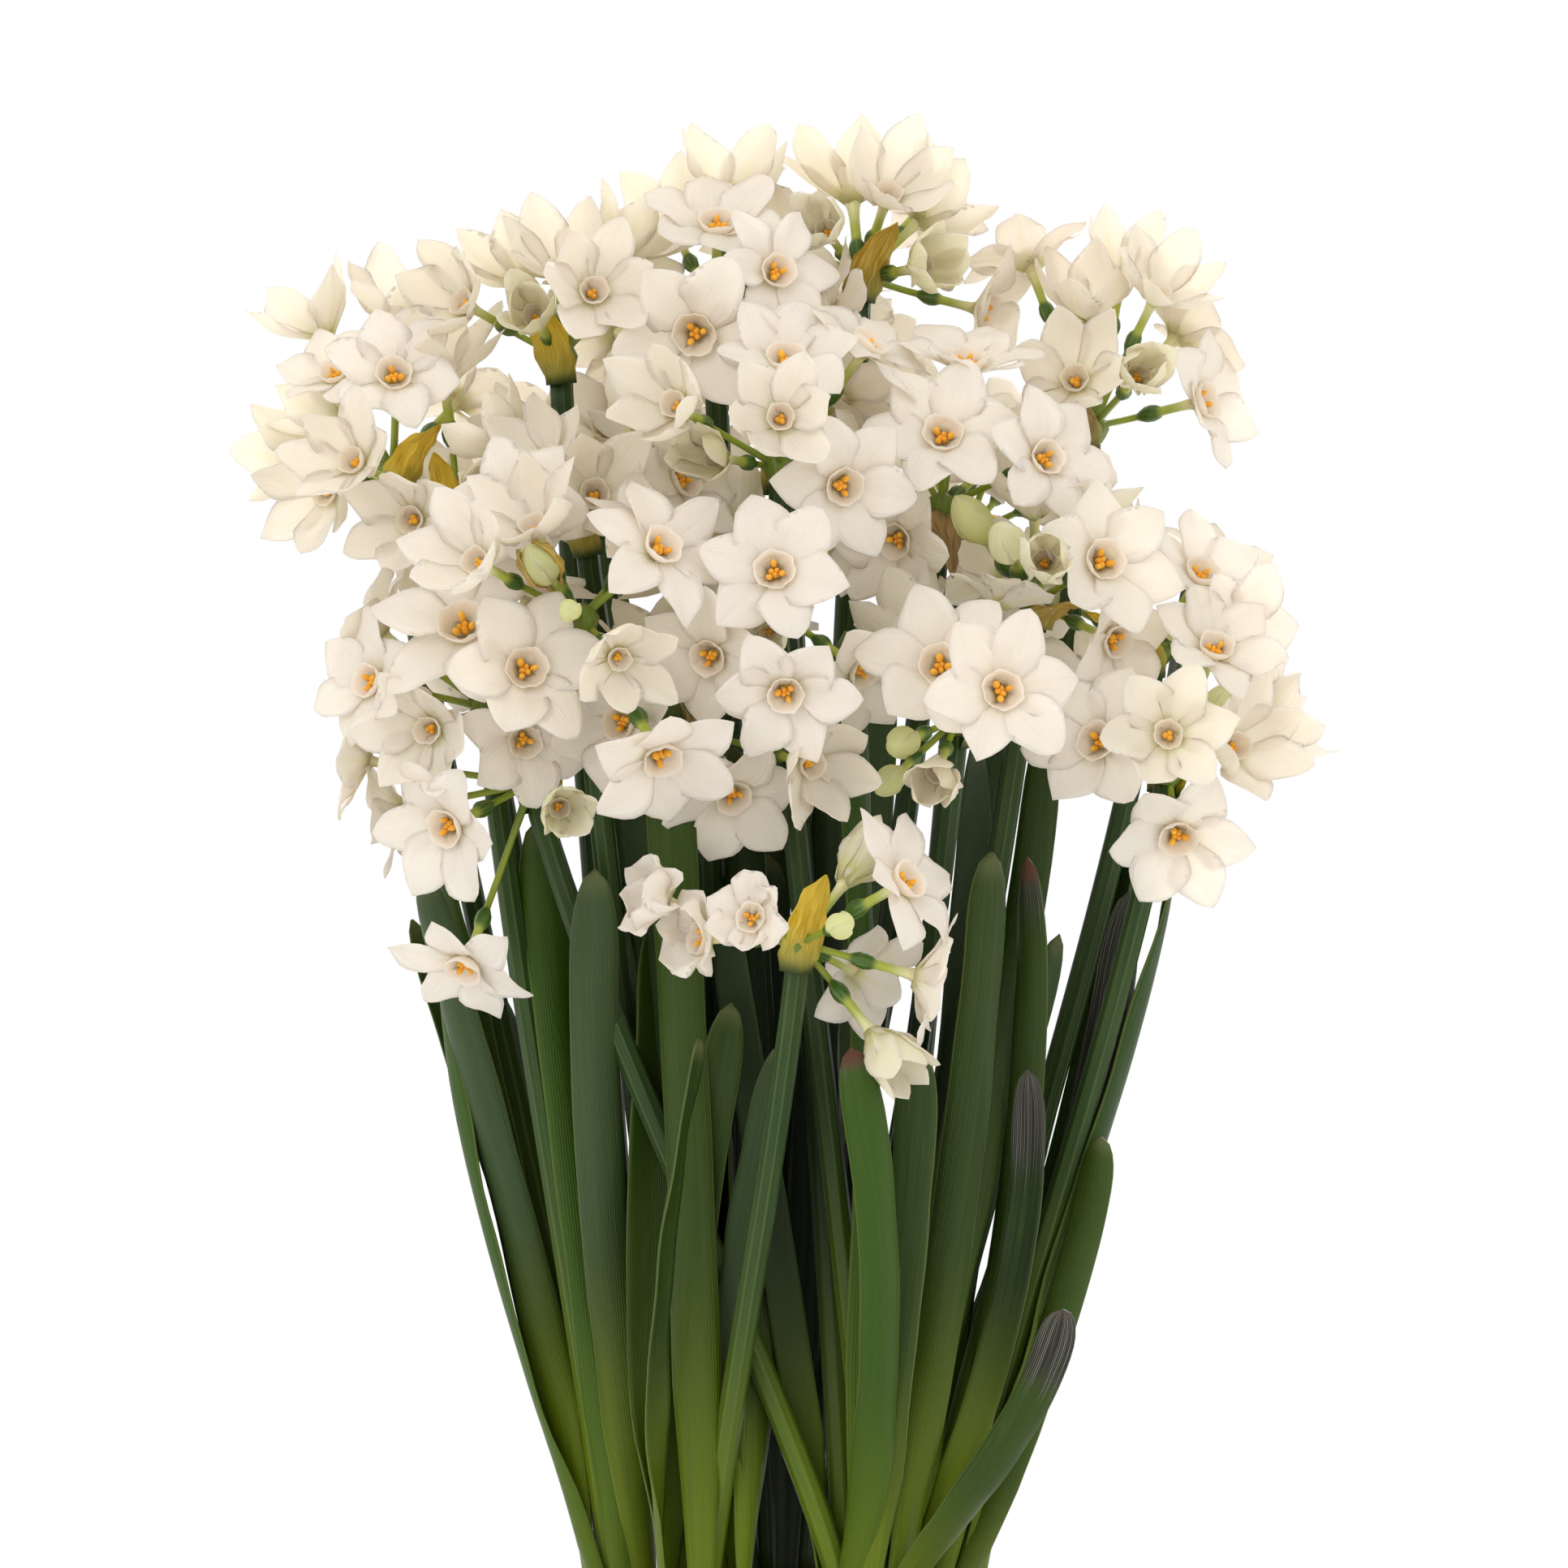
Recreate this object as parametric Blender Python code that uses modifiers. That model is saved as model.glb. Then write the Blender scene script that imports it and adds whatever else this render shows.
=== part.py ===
# A pot of paperwhite narcissus: a plain round pot filled with soil, seven bulbs that stand half out of
# it, strap leaves and bare stalks that fan out of the bulbs, and a dome of white flower heads on top.
# Metres, +Z up. The origin is the centre of the pot's flat bottom, and the front of the dome faces -Y.
import math
import random

import bmesh
import bpy
from mathutils import Matrix, Vector
from mathutils.bvhtree import BVHTree

MM = 0.001

# The pot and what fills it
POT_HEIGHT = 130 * MM
POT_TOP_RADIUS = 76 * MM
POT_FOOT_RADIUS = 54 * MM
POT_WALL = 6 * MM
POT_BASE = 8 * MM
POT_RIM_HEIGHT = 16 * MM
POT_RIM_PROUD = 3 * MM
POT_SIDES = 22
SOIL_BELOW_RIM = 14 * MM
SEAT_GAP = 0.3 * MM

# The bulbs: one in the middle and a ring of six round it
BULB_RADIUS = 19.3 * MM
BULB_RING = 40 * MM
BULB_HEIGHT = 52 * MM
BULB_SUNK = 26 * MM
NECK_RADIUS = 14 * MM
NECK_BORE = 12.5 * MM
NECK_DEPTH = 7 * MM
BULB_SIDES = 8
SHOOT_RADIUS = 12.1 * MM
SHOOT_HEIGHT = 9 * MM

# Leaves and stalks
LEAF_THICK = 1.7 * MM
LEAF_FOOT_WIDTH = 5.6 * MM
LEAF_FOOT_SUNK = 1.4 * MM
LEAF_FOOT_CIRCLE = 10.2 * MM
LEAF_FRACTIONS = [0, 0.28, 0.62, 0.92, 1]
LEAF_WIDTH_SHARES = [1, 1, 1, 0.72, 0]
STALK_FOOT_RADIUS = 3.3 * MM
STALK_TOP_RADIUS = 2.9 * MM
STALK_SIDES = 5
STALK_FRACTIONS = [0, 0.3, 0.65, 1]
STALK_FOOT_RISE = 0.3
STALK_HEAD_RISE = 0.32
STALK_LEAN = 0.22
STALK_ROOM = 0.6 * MM
MOST_STALKS = 4
GATHER_ACROSS = 2.5
GATHER_DEEP = 1.7
LEAF_RISE = 0.33
LEAF_FOOT_LEAN = 0.2
LEAF_TIP_LEAN = 0.28
LEAF_TURNED_AT = 0.35
LEAF_GROWN_AT = 0.25

# One floret, facing along its own axis
PETAL_LENGTH = 16.8 * MM
PETAL_HALF_WIDTH = 5.9 * MM
PETAL_THICK = 0.9 * MM
NOTCH_AT = 0.26
WIDEST_AT = 0.58
WIDEST_TURN = math.radians(28.5)
PETAL_BACK_AT = 0.98
PIT_HEIGHT = 0.3 * MM
PITCH = math.pi / 3
THROAT_RADIUS = 1.8 * MM
CORONA_HEIGHT = 2.6 * MM
CORONA_INWARD = 0.92
TUBE_LENGTH = 13 * MM
TUBE_RADIUS = 1.6 * MM
TUBE_END = 2 * MM
OVARY_RADIUS = 2.0 * MM
PEDICEL_RADIUS = 1.0 * MM
PEDICEL_START = 2 * MM
BUD_RADIUS = 3.9 * MM
BUD_TUBE = 11 * MM
BUD_WIDEST_AT = 2 * MM
BUD_LENGTH = 10 * MM
BUD_TIP_RADIUS = 0.8 * MM
BUD_OVARY = 0.9
UMBEL_REACH = 34 * MM
LEAST_DEPTH = 6 * MM
TURN_TO_FRONT = 0.35
CORE_RADIUS = 4.4 * MM
CORE_FOOT = 0.9
CORE_WIDEST = 0.1
CORE_TOP = 0.8
CORE_TOP_RADIUS = 0.55
SPATHE_LENGTH = 30 * MM
SPATHE_WIDTHS = [4 * MM, 9 * MM, 0]
SPATHE_FRACTIONS = [0, 0.6, 1]
SPATHE_THICK = 1.2 * MM
SPATHE_DROOP = 0.3
UNION_SOLVER = "MANIFOLD"
SLIVER = 0.01 * MM

# Where things stand in a front view. A place is given as steps to the right and down of a square grid
# of FRAME_STEPS steps, whose lower edge lies at EDGE_HEIGHT, seen from VIEW_DISTANCE.
FRAME_STEPS = 1932
STEP = 0.21 * MM
EDGE_HEIGHT = 150 * MM
VIEW_DISTANCE = 2.0

# How each kind of floret has opened: the angle of its petals to its axis, near their foot and near
# their tip, and the petals' length. The corona shows in those that face the viewer, wide open.
KINDS = {
    "star": (68, 94, 1.12),
    "open": (58, 78, 1.08),
    "cup": (56, 26, 1.26),
    "tight": (36, 10, 1.14),
}
# How far a floret's petals start behind the middle of what shows of it
SETBACKS = {"star": 2 * MM, "open": 4 * MM, "cup": 10 * MM, "tight": 10 * MM, "bud": 3 * MM}
WIDE_OPEN = ["star", "open"]

# Flower heads. "node" is where the florets' stems meet: steps right, steps down, mm of depth from the
# middle (less is nearer the front). A floret is steps right, steps down, side (-1 front to 1 back of
# its node), kind and size. "spathe" is the way the papery sheath points: right, back, up. "foot" is
# where a stalk should start, in mm from the middle, if not below its head.
HEADS = {
    "01": {"node": (484, 581, 6), "spathe": (0.45, -0.6, 0.7), "florets": [
        (491, 350, -0.6, "cup", 1.0), (378, 372, 0.3, "cup", 1.0), (409, 455, -1, "open", 0.8),
        (396, 488, -0.3, "cup", 1.0), (352, 560, 0.5, "cup", 1.0), (380, 612, -0.6, "cup", 0.95)]},
    "02": {"node": (690, 440, -6), "spathe": (-0.3, -0.5, 0.9), "florets": [
        (690, 300, -0.2, "cup", 1.1), (738, 345, -1, "cup", 1.05), (790, 275, 0.6, "cup", 1.0),
        (652, 378, -0.8, "tight", 1.0)]},
    "03": {"node": (880, 385, -10), "spathe": (0, 0.6, 0.8), "florets": [
        (855, 413, -1, "open", 1.2), (957, 335, -0.8, "star", 1.0), (884, 268, -0.6, "open", 1.05),
        (905, 198, 0.4, "cup", 1.1), (822, 262, 0.4, "cup", 1.0)]},
    "04": {"node": (1060, 340, 14), "spathe": (0.3, -0.6, 0.7), "florets": [
        (1046, 200, 0.1, "cup", 1.15), (1104, 212, 0.6, "cup", 1.05), (1168, 240, -0.3, "cup", 1.05),
        (1152, 326, -0.9, "tight", 1.1), (1010, 272, -0.8, "tight", 0.95), (1222, 385, -0.2, "open", 1.0)]},
    "05": {"node": (1345, 526, 10), "spathe": (-0.5, -0.4, 0.8), "florets": [
        (1320, 452, -0.9, "cup", 1.05), (1340, 345, -0.3, "cup", 1.05), (1262, 312, 0.2, "open", 1.0),
        (1390, 305, 0.7, "cup", 1.0), (1440, 332, 0.5, "cup", 1.0), (1462, 402, -0.6, "open", 1.15),
        (1410, 455, -1, "tight", 1.0), (1492, 492, -0.6, "open", 1.05)]},
    "06": {"node": (960, 575, -38), "spathe": (0.2, 0.5, 0.8), "florets": [
        (969, 435, -0.8, "open", 1.05), (962, 505, -1, "cup", 1.0), (1070, 425, -0.5, "star", 1.05),
        (1042, 600, -1, "open", 1.05), (866, 560, -0.9, "tight", 1.0)]},
    "07": {"node": (720, 650, -28), "spathe": (-0.4, -0.6, 0.6), "florets": [
        (735, 600, -1, "cup", 1.1), (664, 545, -0.6, "cup", 1.0), (800, 480, -0.6, "cup", 1.05),
        (600, 520, -0.2, "cup", 0.95)]},
    "08": {"node": (565, 640, -10), "spathe": (-0.2, -0.5, 0.9), "florets": [
        (542, 420, -0.7, "cup", 1.15), (592, 595, -1, "tight", 0.75), (492, 640, -0.8, "cup", 1.0)]},
    "09": {"node": (1160, 625, -22), "spathe": (0.1, -0.8, -0.5), "florets": [
        (1162, 531, -0.9, "open", 1.1), (1194, 436, -0.9, "open", 1.1), (1236, 560, -0.2, "cup", 1.0),
        (1100, 668, -0.3, "open", 1.0)]},
    "10": {"node": (1275, 742, -32), "spathe": (0.45, -0.5, 0.2), "florets": [
        (1364, 688, -1, "open", 1.15), (1289, 685, -1, "tight", 1.0), (1198, 640, -0.5, "bud", 1.2),
        (1240, 668, -0.8, "bud", 1.2), (1276, 590, -0.3, "cup", 1.0), (1335, 605, -0.1, "cup", 1.0),
        (1380, 792, -0.6, "open", 0.95)]},
    "11": {"node": (1425, 800, -4), "spathe": (-0.6, -0.5, 0.6), "florets": [
        (1484, 700, -0.4, "open", 1.0), (1528, 776, -0.7, "open", 1.0), (1452, 770, -1, "bud", 1.0),
        (1378, 838, -0.9, "bud", 0.9)]},
    "12": {"node": (1440, 948, -28), "spathe": (0.2, 0.6, 0.7), "florets": [
        (1349, 912, -1, "open", 1.1), (1440, 900, -1, "cup", 1.05), (1545, 912, -0.6, "cup", 1.05),
        (1596, 885, 0.4, "cup", 0.95), (1452, 1036, -0.6, "open", 1.05), (1500, 868, 0.2, "bud", 1.0)]},
    "13": {"node": (600, 872, -42), "spathe": (0.5, -0.5, 0.5), "florets": [
        (570, 770, -1, "star", 1.3), (650, 822, -1, "open", 1.15), (455, 770, 0.1, "open", 1.0),
        (448, 838, -0.4, "open", 0.95), (512, 905, -0.9, "cup", 1.0), (648, 915, -0.7, "open", 0.95)]},
    "14": {"node": (655, 965, -46), "spathe": (0.2, 0.6, 0.5), "florets": [
        (545, 1022, -0.8, "open", 1.05), (435, 935, 0.2, "open", 0.95), (480, 1000, -0.5, "open", 1.0),
        (572, 1192, -0.5, "star", 1.0), (694, 1000, -1, "tight", 0.85)]},
    "15": {"node": (955, 752, -52), "spathe": (0.2, 0.5, 0.7), "florets": [
        (954, 701, -1, "open", 1.1), (870, 812, -1, "open", 1.0), (1068, 830, -0.6, "open", 0.95),
        (968, 858, -1, "open", 1.0), (945, 784, -0.9, "tight", 0.7)]},
    "16": {"node": (872, 905, -44), "spathe": (-0.2, 0.6, 0.5), "florets": [
        (760, 888, -0.7, "open", 1.0), (905, 985, -0.6, "open", 1.0), (1020, 948, -0.7, "cup", 1.0)]},
    "17": {"node": (1180, 885, -46), "spathe": (0.5, 0.3, 0.7), "florets": [
        (1157, 817, -1, "open", 1.15), (1236, 850, -0.5, "open", 1.1), (1152, 962, -1, "tight", 0.95),
        (1112, 915, -0.8, "bud", 1.0), (1096, 962, -0.7, "bud", 0.9)]},
    "18": {"node": (716, 762, -68), "spathe": (-0.5, -0.3, 0.6), "florets": [
        (814, 674, -0.8, "star", 1.1), (771, 820, -0.9, "cup", 0.85),
        (818, 940, -0.3, "open", 1.1), (702, 752, -0.8, "bud", 0.7), (665, 695, -0.4, "bud", 1.15)]},
    "19": {"node": (985, 1162, -80), "foot": (-20, -35), "spathe": (0.25, -0.5, 1.0), "florets": [
        (806, 1106, -0.4, "open", 0.9), (856, 1156, -0.5, "open", 0.9), (924, 1130, -0.9, "open", 0.8),
        (1116, 1086, -0.5, "star", 1.1), (1068, 1050, -0.2, "tight", 1.0), (1036, 1140, -1, "bud", 0.85),
        (1148, 1208, -0.4, "open", 1.0), (1104, 1308, -0.3, "tight", 1.05), (1064, 1204, 0.6, "open", 0.9)]},
    "20": {"node": (742, 640, 38), "spathe": (-0.3, 0.8, 0.5), "florets": []},
    "21": {"node": (1190, 660, 40), "spathe": (0.3, 0.8, 0.5), "florets": []},
    "22": {"node": (965, 500, 42), "spathe": (0.0, 0.8, 0.6), "florets": []},
}
# Florets that fill a head's free sides: how many at most, and how many florets make a head full, the
# ways that are tried, how far apart they point, and their kinds in turn
FILL_MOST = 3
FULL_HEAD = 8
FULL_BACK_HEAD = 7
FILL_WAYS = 17
FILL_APART = math.radians(33)
FILL_OFF_STALK = -0.4
FILL_KINDS = ["open", "cup", "open", "star", "cup"]
DEPTH_STEPS = [0, -3, 3, -6, 6, -9, 9, -12, 12, -15, 15, -18, 18, -22, 22, -27, 27, -33, 33]
STEM_POINTS = 6
STEM_POINTS_HIDDEN = 3
LEAST_REACH = 20 * MM
ROOM = 0.35 * MM

# Leaves that show at the front: bulb, angle of the foot on the neck, tip (steps right, steps down, mm
# of depth), width in mm, sideways bow in mm and the way that the face looks, in degrees to the right.
FRONT_LEAVES = [
    (5, 190, (522, 1076, -20), 11.5, 2, -20),
    (5, 150, (507, 1133, 6), 8.0, 4, 25),
    (5, 240, (662, 1010, -38), 13.0, 0, 12),
    (5, 300, (735, 1070, -46), 12.5, 2, -8),
    (6, 200, (862, 1280, -72), 7.0, -8, 50),
    (6, 130, (901, 1236, -58), 10.5, -4, 10),
    (6, 60, (966, 1286, -60), 9.0, -6, -15),
    (7, 235, (1048, 1291, -86), 10.7, 12, 5),
    (6, 225, (812, 1120, -40), 11.5, -5, 20),
    (7, 200, (890, 1100, -48), 9.0, 8, -10),
    (7, 300, (1309, 1613, -78), 10.0, 9, 15),
    (2, 300, (1356, 1400, -24), 9.5, 6, -18),
    (2, 330, (1391, 1098, -16), 11.0, 4, 20),
    (2, 20, (1406, 1000, 4), 9.0, 2, -12),
    (7, 340, (1295, 872, -20), 10.0, 4, 30),
    (2, 250, (1265, 1056, -36), 9.0, 3, -25),
    (7, 320, (1222, 1050, -58), 11.5, 4, 10),
    (2, 270, (1306, 1151, -28), 8.0, 2, 20),
    (7, 350, (1266, 1318, -50), 9.0, 5, -5),
    (7, 270, (1130, 1290, -66), 11.0, 3, -18),
    (1, 270, (1030, 900, -34), 10.5, 0, 5),
    (1, 220, (840, 1000, -30), 10.5, 0, -10),
]
SIDE_LEAVES = {1: 7, 2: 3, 3: 6, 4: 6, 5: 3, 6: 3, 7: 2}
LEAF_HEIGHTS = {"front": (205, 250), "back": (150, 262)}
LEAF_SPREADS = {"front": (0.05, 0.5), "back": (0.75, 1.5)}
SEED = 7


# Small helpers for places and directions
def in_view(right, down, depth):
    """The point at a depth (metres) that shows at a place of the front view's grid."""
    shrink = STEP * (1 + depth / VIEW_DISTANCE)
    middle = FRAME_STEPS / 2
    centre_height = EDGE_HEIGHT + middle * STEP
    return Vector(((right - middle) * shrink, depth, centre_height + (middle - down) * shrink))


def bezier(start, start_pull, end_pull, end, t):
    s = 1 - t
    return start * s ** 3 + start_pull * (3 * s * s * t) + end_pull * (3 * s * t * t) + end * t ** 3


def tangents(points):
    count = len(points)
    return [(points[min(i + 1, count - 1)] - points[max(i - 1, 0)]).normalized() for i in range(count)]


def square_to(direction, tangent):
    flat = direction - tangent * direction.dot(tangent)
    if flat.length < 1e-4:
        flat = tangent.orthogonal()
    return flat.normalized()


# Shapes as plain lists of points and faces, so that they can be tested for room before they are made
def sweep(points, radii, sides, across, open_end=False, level_foot=False):
    """A tube along points, with flat ends or with its far end left open."""
    shape_points, faces = [], []
    ways = tangents(points)
    if level_foot:
        ways[0] = Vector((0, 0, 1))
    for point, radius, tangent in zip(points, radii, ways):
        axis_a = square_to(across, tangent)
        axis_b = tangent.cross(axis_a)
        for side in range(sides):
            turn = 2 * math.pi * side / sides
            shape_points.append(point + (axis_a * math.cos(turn) + axis_b * math.sin(turn)) * radius)
    for ring in range(len(points) - 1):
        low, high = ring * sides, (ring + 1) * sides
        for side in range(sides):
            after = (side + 1) % sides
            faces.append((low + side, low + after, high + after))
            faces.append((low + side, high + after, high + side))
    faces.append(tuple(reversed(range(sides))))
    if not open_end:
        last = (len(points) - 1) * sides
        faces.append(tuple(range(last, last + sides)))
    return shape_points, faces


def blade(points, faces_way, widths, thick):
    """A strap with a lens section and a pointed tip; both faces are split alike."""
    shape_points, faces = [], []
    for point, way, width, tangent in zip(points, faces_way, widths, tangents(points)):
        normal = square_to(way, tangent)
        side = normal.cross(tangent)
        shape_points += [point - side * width / 2, point + normal * thick / 2,
                         point + side * width / 2, point - normal * thick / 2]
    last_ring = len(points) - 2
    for ring in range(last_ring):
        low, high = ring * 4, ring * 4 + 4
        for edge, face_low, face_high in ((0, 1, 1), (0, 3, 3), (2, 1, 1), (2, 3, 3)):
            first = (low + edge, low + face_low, high + face_high)
            second = (low + edge, high + face_high, high + edge)
            flip = (edge == 0) != (face_low == 1)
            for face in (first, second):
                faces.append(face if flip else tuple(reversed(face)))
    del shape_points[(last_ring + 1) * 4:]
    tip = len(shape_points)
    shape_points.append(points[-1])
    ring = last_ring * 4
    for a, b in ((0, 1), (1, 2), (2, 3), (3, 0)):
        faces.append((ring + b, ring + a, tip))
    faces.append((0, 1, 2, 3))
    return shape_points, faces


def petal_places(centre, across, up_axis, facing, kind, size):
    """How far out and along the notches, the widest part and the tips of a floret's petals lie, and a
    function that gives the point at a turn about the floret's axis."""
    foot_lean, tip_lean, length_factor = KINDS[kind]
    lean, tip_lean = math.radians(foot_lean), math.radians(tip_lean)
    length = PETAL_LENGTH * size * length_factor
    notch = (THROAT_RADIUS + length * NOTCH_AT * math.sin(lean), length * NOTCH_AT * math.cos(lean))
    wide = (THROAT_RADIUS + length * WIDEST_AT * math.sin(lean), length * WIDEST_AT * math.cos(lean))
    rest = length * (1 - WIDEST_AT)
    tip = (wide[0] + rest * math.sin(tip_lean), wide[1] + rest * math.cos(tip_lean))

    def place(turn, out, along):
        return centre + (across * math.cos(turn) + up_axis * math.sin(turn)) * out + facing * along

    return lean, notch, wide, tip, place


def joint_faces(tube_ring, notches, backs):
    """The under side of a floret: from its tube's three corners to its notches and its petals' backs."""
    faces = []
    for corner in range(3):
        here = tube_ring + corner
        beyond = tube_ring + (corner + 1) % 3
        before, own, after = (notches[(2 * corner + step) % 6] for step in (0, 1, 2))
        back_before, back_after = (backs[2 * corner + step] for step in (0, 1))
        faces += [(here, back_before, before), (here, own, back_before)]
        faces += [(here, back_after, own), (here, after, back_after), (here, beyond, after)]
    return faces


def floret_axes(facing, roll):
    across = square_to(Matrix.Rotation(roll, 3, facing) @ facing.orthogonal(), facing)
    return across, facing.cross(across)


def floret_stem(node, centre, facing, across, up_axis, size, through_ovary):
    """A floret's stem, open where it meets the petals; a hidden one has no swelling for its ovary."""
    tube_end = centre - facing * TUBE_END
    ovary = centre - facing * TUBE_LENGTH
    outward = (ovary - node).normalized()
    path = [node + outward * PEDICEL_START, ovary, tube_end]
    radii = [PEDICEL_RADIUS, OVARY_RADIUS * size, TUBE_RADIUS]
    if not through_ovary:
        del path[1], radii[1]
    stem_across = across * math.cos(PITCH / 2) + up_axis * math.sin(PITCH / 2)
    return sweep(path, radii, 3, stem_across, open_end=True)


def floret(node, centre, facing, kind, size, roll):
    """One flower with its stem: pedicel, ovary, tube, six petals and the corona."""
    across, up_axis = floret_axes(facing, roll)
    points, faces = floret_stem(node, centre, facing, across, up_axis, size, True)
    tube_ring = len(points) - 3
    lean, notch, wide, tip, place = petal_places(centre, across, up_axis, facing, kind, size)
    half_turn = min(math.atan(PETAL_HALF_WIDTH * size / wide[0]), WIDEST_TURN)
    back = (wide[0] * PETAL_BACK_AT + PETAL_THICK * math.cos(lean), wide[1] - PETAL_THICK * math.sin(lean))
    notches, petals = [], []
    for petal in range(6):
        turn = petal * PITCH
        notches.append(len(points))
        petals.append([len(points) + step for step in (1, 2, 3, 4)])
        points += [place(turn - PITCH / 2, *notch), place(turn - half_turn, *wide), place(turn, *tip),
                   place(turn + half_turn, *wide), place(turn, *back)]
    rims = []
    for petal in range(6):
        rims.append(len(points))
        rim = (notch[0] * CORONA_INWARD, notch[1] + CORONA_HEIGHT * size)
        points.append(place((petal - 0.5) * PITCH, *rim))
    pit = len(points)
    points.append(place(0, 0, PIT_HEIGHT))
    for petal in range(6):
        after = (petal + 1) % 6
        left, top, right, rear = petals[petal]
        own, following = notches[petal], notches[after]
        faces += [(own, left, right), (own, right, following), (left, top, right)]
        faces += [(rear, left, own), (rear, top, left), (rear, right, top), (rear, following, right)]
        faces += [(own, following, rims[after]), (own, rims[after], rims[petal])]
        faces.append((rims[petal], rims[after], pit))
    faces += joint_faces(tube_ring, notches, [rear for _, _, _, rear in petals])
    return points, faces


def half_open_floret(node, centre, facing, kind, size, roll, with_ovary):
    """A floret whose corona doesn't show, as it is half open or behind others: six pointed petals."""
    across, up_axis = floret_axes(facing, roll)
    points, faces = floret_stem(node, centre, facing, across, up_axis, size, with_ovary)
    tube_ring = len(points) - 3
    _, notch, wide, tip, place = petal_places(centre, across, up_axis, facing, kind, size)
    between = ((notch[0] + wide[0]) / 2, (notch[1] + wide[1]) / 2)
    notches, tips = [], []
    for petal in range(6):
        notches.append(len(points))
        tips.append(len(points) + 1)
        points += [place((petal - 0.5) * PITCH, *between), place(petal * PITCH, *tip)]
    pit = len(points)
    points.append(place(0, 0, PIT_HEIGHT))
    for petal in range(6):
        faces += [(notches[petal], tips[petal], pit), (tips[petal], notches[(petal + 1) % 6], pit)]
    faces += joint_faces(tube_ring, notches, tips)
    return points, faces


def bud(node, centre, facing, size, roll):
    """A closed floret: its stem, ovary, tube and a pointed spindle of folded petals."""
    across, _ = floret_axes(facing, roll)
    ovary = centre - facing * BUD_TUBE * size
    outward = (ovary - node).normalized()
    widest, end = centre + facing * BUD_WIDEST_AT * size, centre + facing * BUD_LENGTH * size
    path = [node + outward * PEDICEL_START, ovary, widest, end]
    radii = [PEDICEL_RADIUS, OVARY_RADIUS * size * BUD_OVARY, BUD_RADIUS * size, BUD_TIP_RADIUS * size]
    return sweep(path, radii, 4, across)


# Room for each shape: a newcomer, a little thickened, is tested against every other node's shapes
placed = []


def thickened(points, faces, by):
    pushes = [Vector() for _ in points]
    for face in faces:
        a, b, c = (points[index] for index in face[:3])
        normal = (b - a).cross(c - a).normalized()
        for index in face:
            pushes[index] += normal
    return [point + push.normalized() * by for point, push in zip(points, pushes)]


def has_room(owners, shape, margin=ROOM):
    """Whether a shape is clear of all that is placed, apart from what belongs to its owners."""
    points, faces = shape
    fat = thickened(points, faces, margin)
    low = [min(p[k] for p in fat + points) for k in range(3)]
    high = [max(p[k] for p in fat + points) for k in range(3)]
    trees = []
    for other, other_low, other_high, other_tree in placed:
        if other in owners or any(low[k] > other_high[k] or high[k] < other_low[k] for k in range(3)):
            continue
        trees = trees or [BVHTree.FromPolygons(form, faces) for form in (fat, points)]
        if any(tree.overlap(other_tree) for tree in trees):
            return False
    return True


def keep(owner, shape):
    points, faces = shape
    low = [min(p[k] for p in points) for k in range(3)]
    high = [max(p[k] for p in points) for k in range(3)]
    placed.append((owner, low, high, BVHTree.FromPolygons(points, faces)))
    return shape


# Where the bulbs, stalks, florets and leaves go
def bulb_places():
    ring = [Vector((math.cos(math.radians(a)), math.sin(math.radians(a)), 0)) * BULB_RING
            for a in range(0, 360, 60)]
    return [Vector((0, 0, 0))] + ring


SOIL_TOP = POT_HEIGHT - SOIL_BELOW_RIM
BULB_FOOT = SOIL_TOP - BULB_SUNK
NECK_TOP = BULB_FOOT + BULB_HEIGHT
NECK_FLOOR = NECK_TOP - NECK_DEPTH
SHOOT_TOP = NECK_FLOOR + SEAT_GAP + SHOOT_HEIGHT
BULBS = bulb_places()
STALK_SEATS = [Vector((x, y, 0)) * MM for x, y in ((-4, -4), (4, -4), (-4, 4), (4, 4), (0, 0))]
STALK_BOWS = [Vector((x, y, 0)) * MM for x, y in (
    (0, 0), (0, -6), (0, 6), (-6, 0), (6, 0), (0, -12), (0, 12), (-10, 0), (10, 0))]


def stalk_shape(foot, node, bow):
    """A stalk from the shoot up to its head, upright at its foot; it ends just under the head's core."""
    rise = node.z - foot.z
    lean = Vector((node.x - foot.x, node.y - foot.y, 0))
    foot_pull = foot + Vector((0, 0, rise * STALK_FOOT_RISE)) + lean * STALK_LEAN + bow
    head_pull = node - Vector((0, 0, rise * STALK_HEAD_RISE)) - lean * STALK_LEAN + bow
    points = [bezier(foot, foot_pull, head_pull, node, t) for t in STALK_FRACTIONS]
    way = (points[-1] - points[-2]).normalized()
    points[-1] = node - way * (CORE_RADIUS * CORE_FOOT + SEAT_GAP)
    radii = [STALK_FOOT_RADIUS + (STALK_TOP_RADIUS - STALK_FOOT_RADIUS) * t for t in STALK_FRACTIONS]
    return sweep(points, radii, STALK_SIDES, Vector((1, 0, 0)), level_foot=True), way


def core_shape(node, way):
    """The small knob on the stalk's top that the florets' stems grow out of."""
    points = [node + way * CORE_RADIUS * share for share in (-CORE_FOOT, -CORE_WIDEST, CORE_TOP)]
    radii = [STALK_TOP_RADIUS, CORE_RADIUS, CORE_RADIUS * CORE_TOP_RADIUS]
    return sweep(points, radii, STALK_SIDES, Vector((1, 0, 0)))


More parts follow.
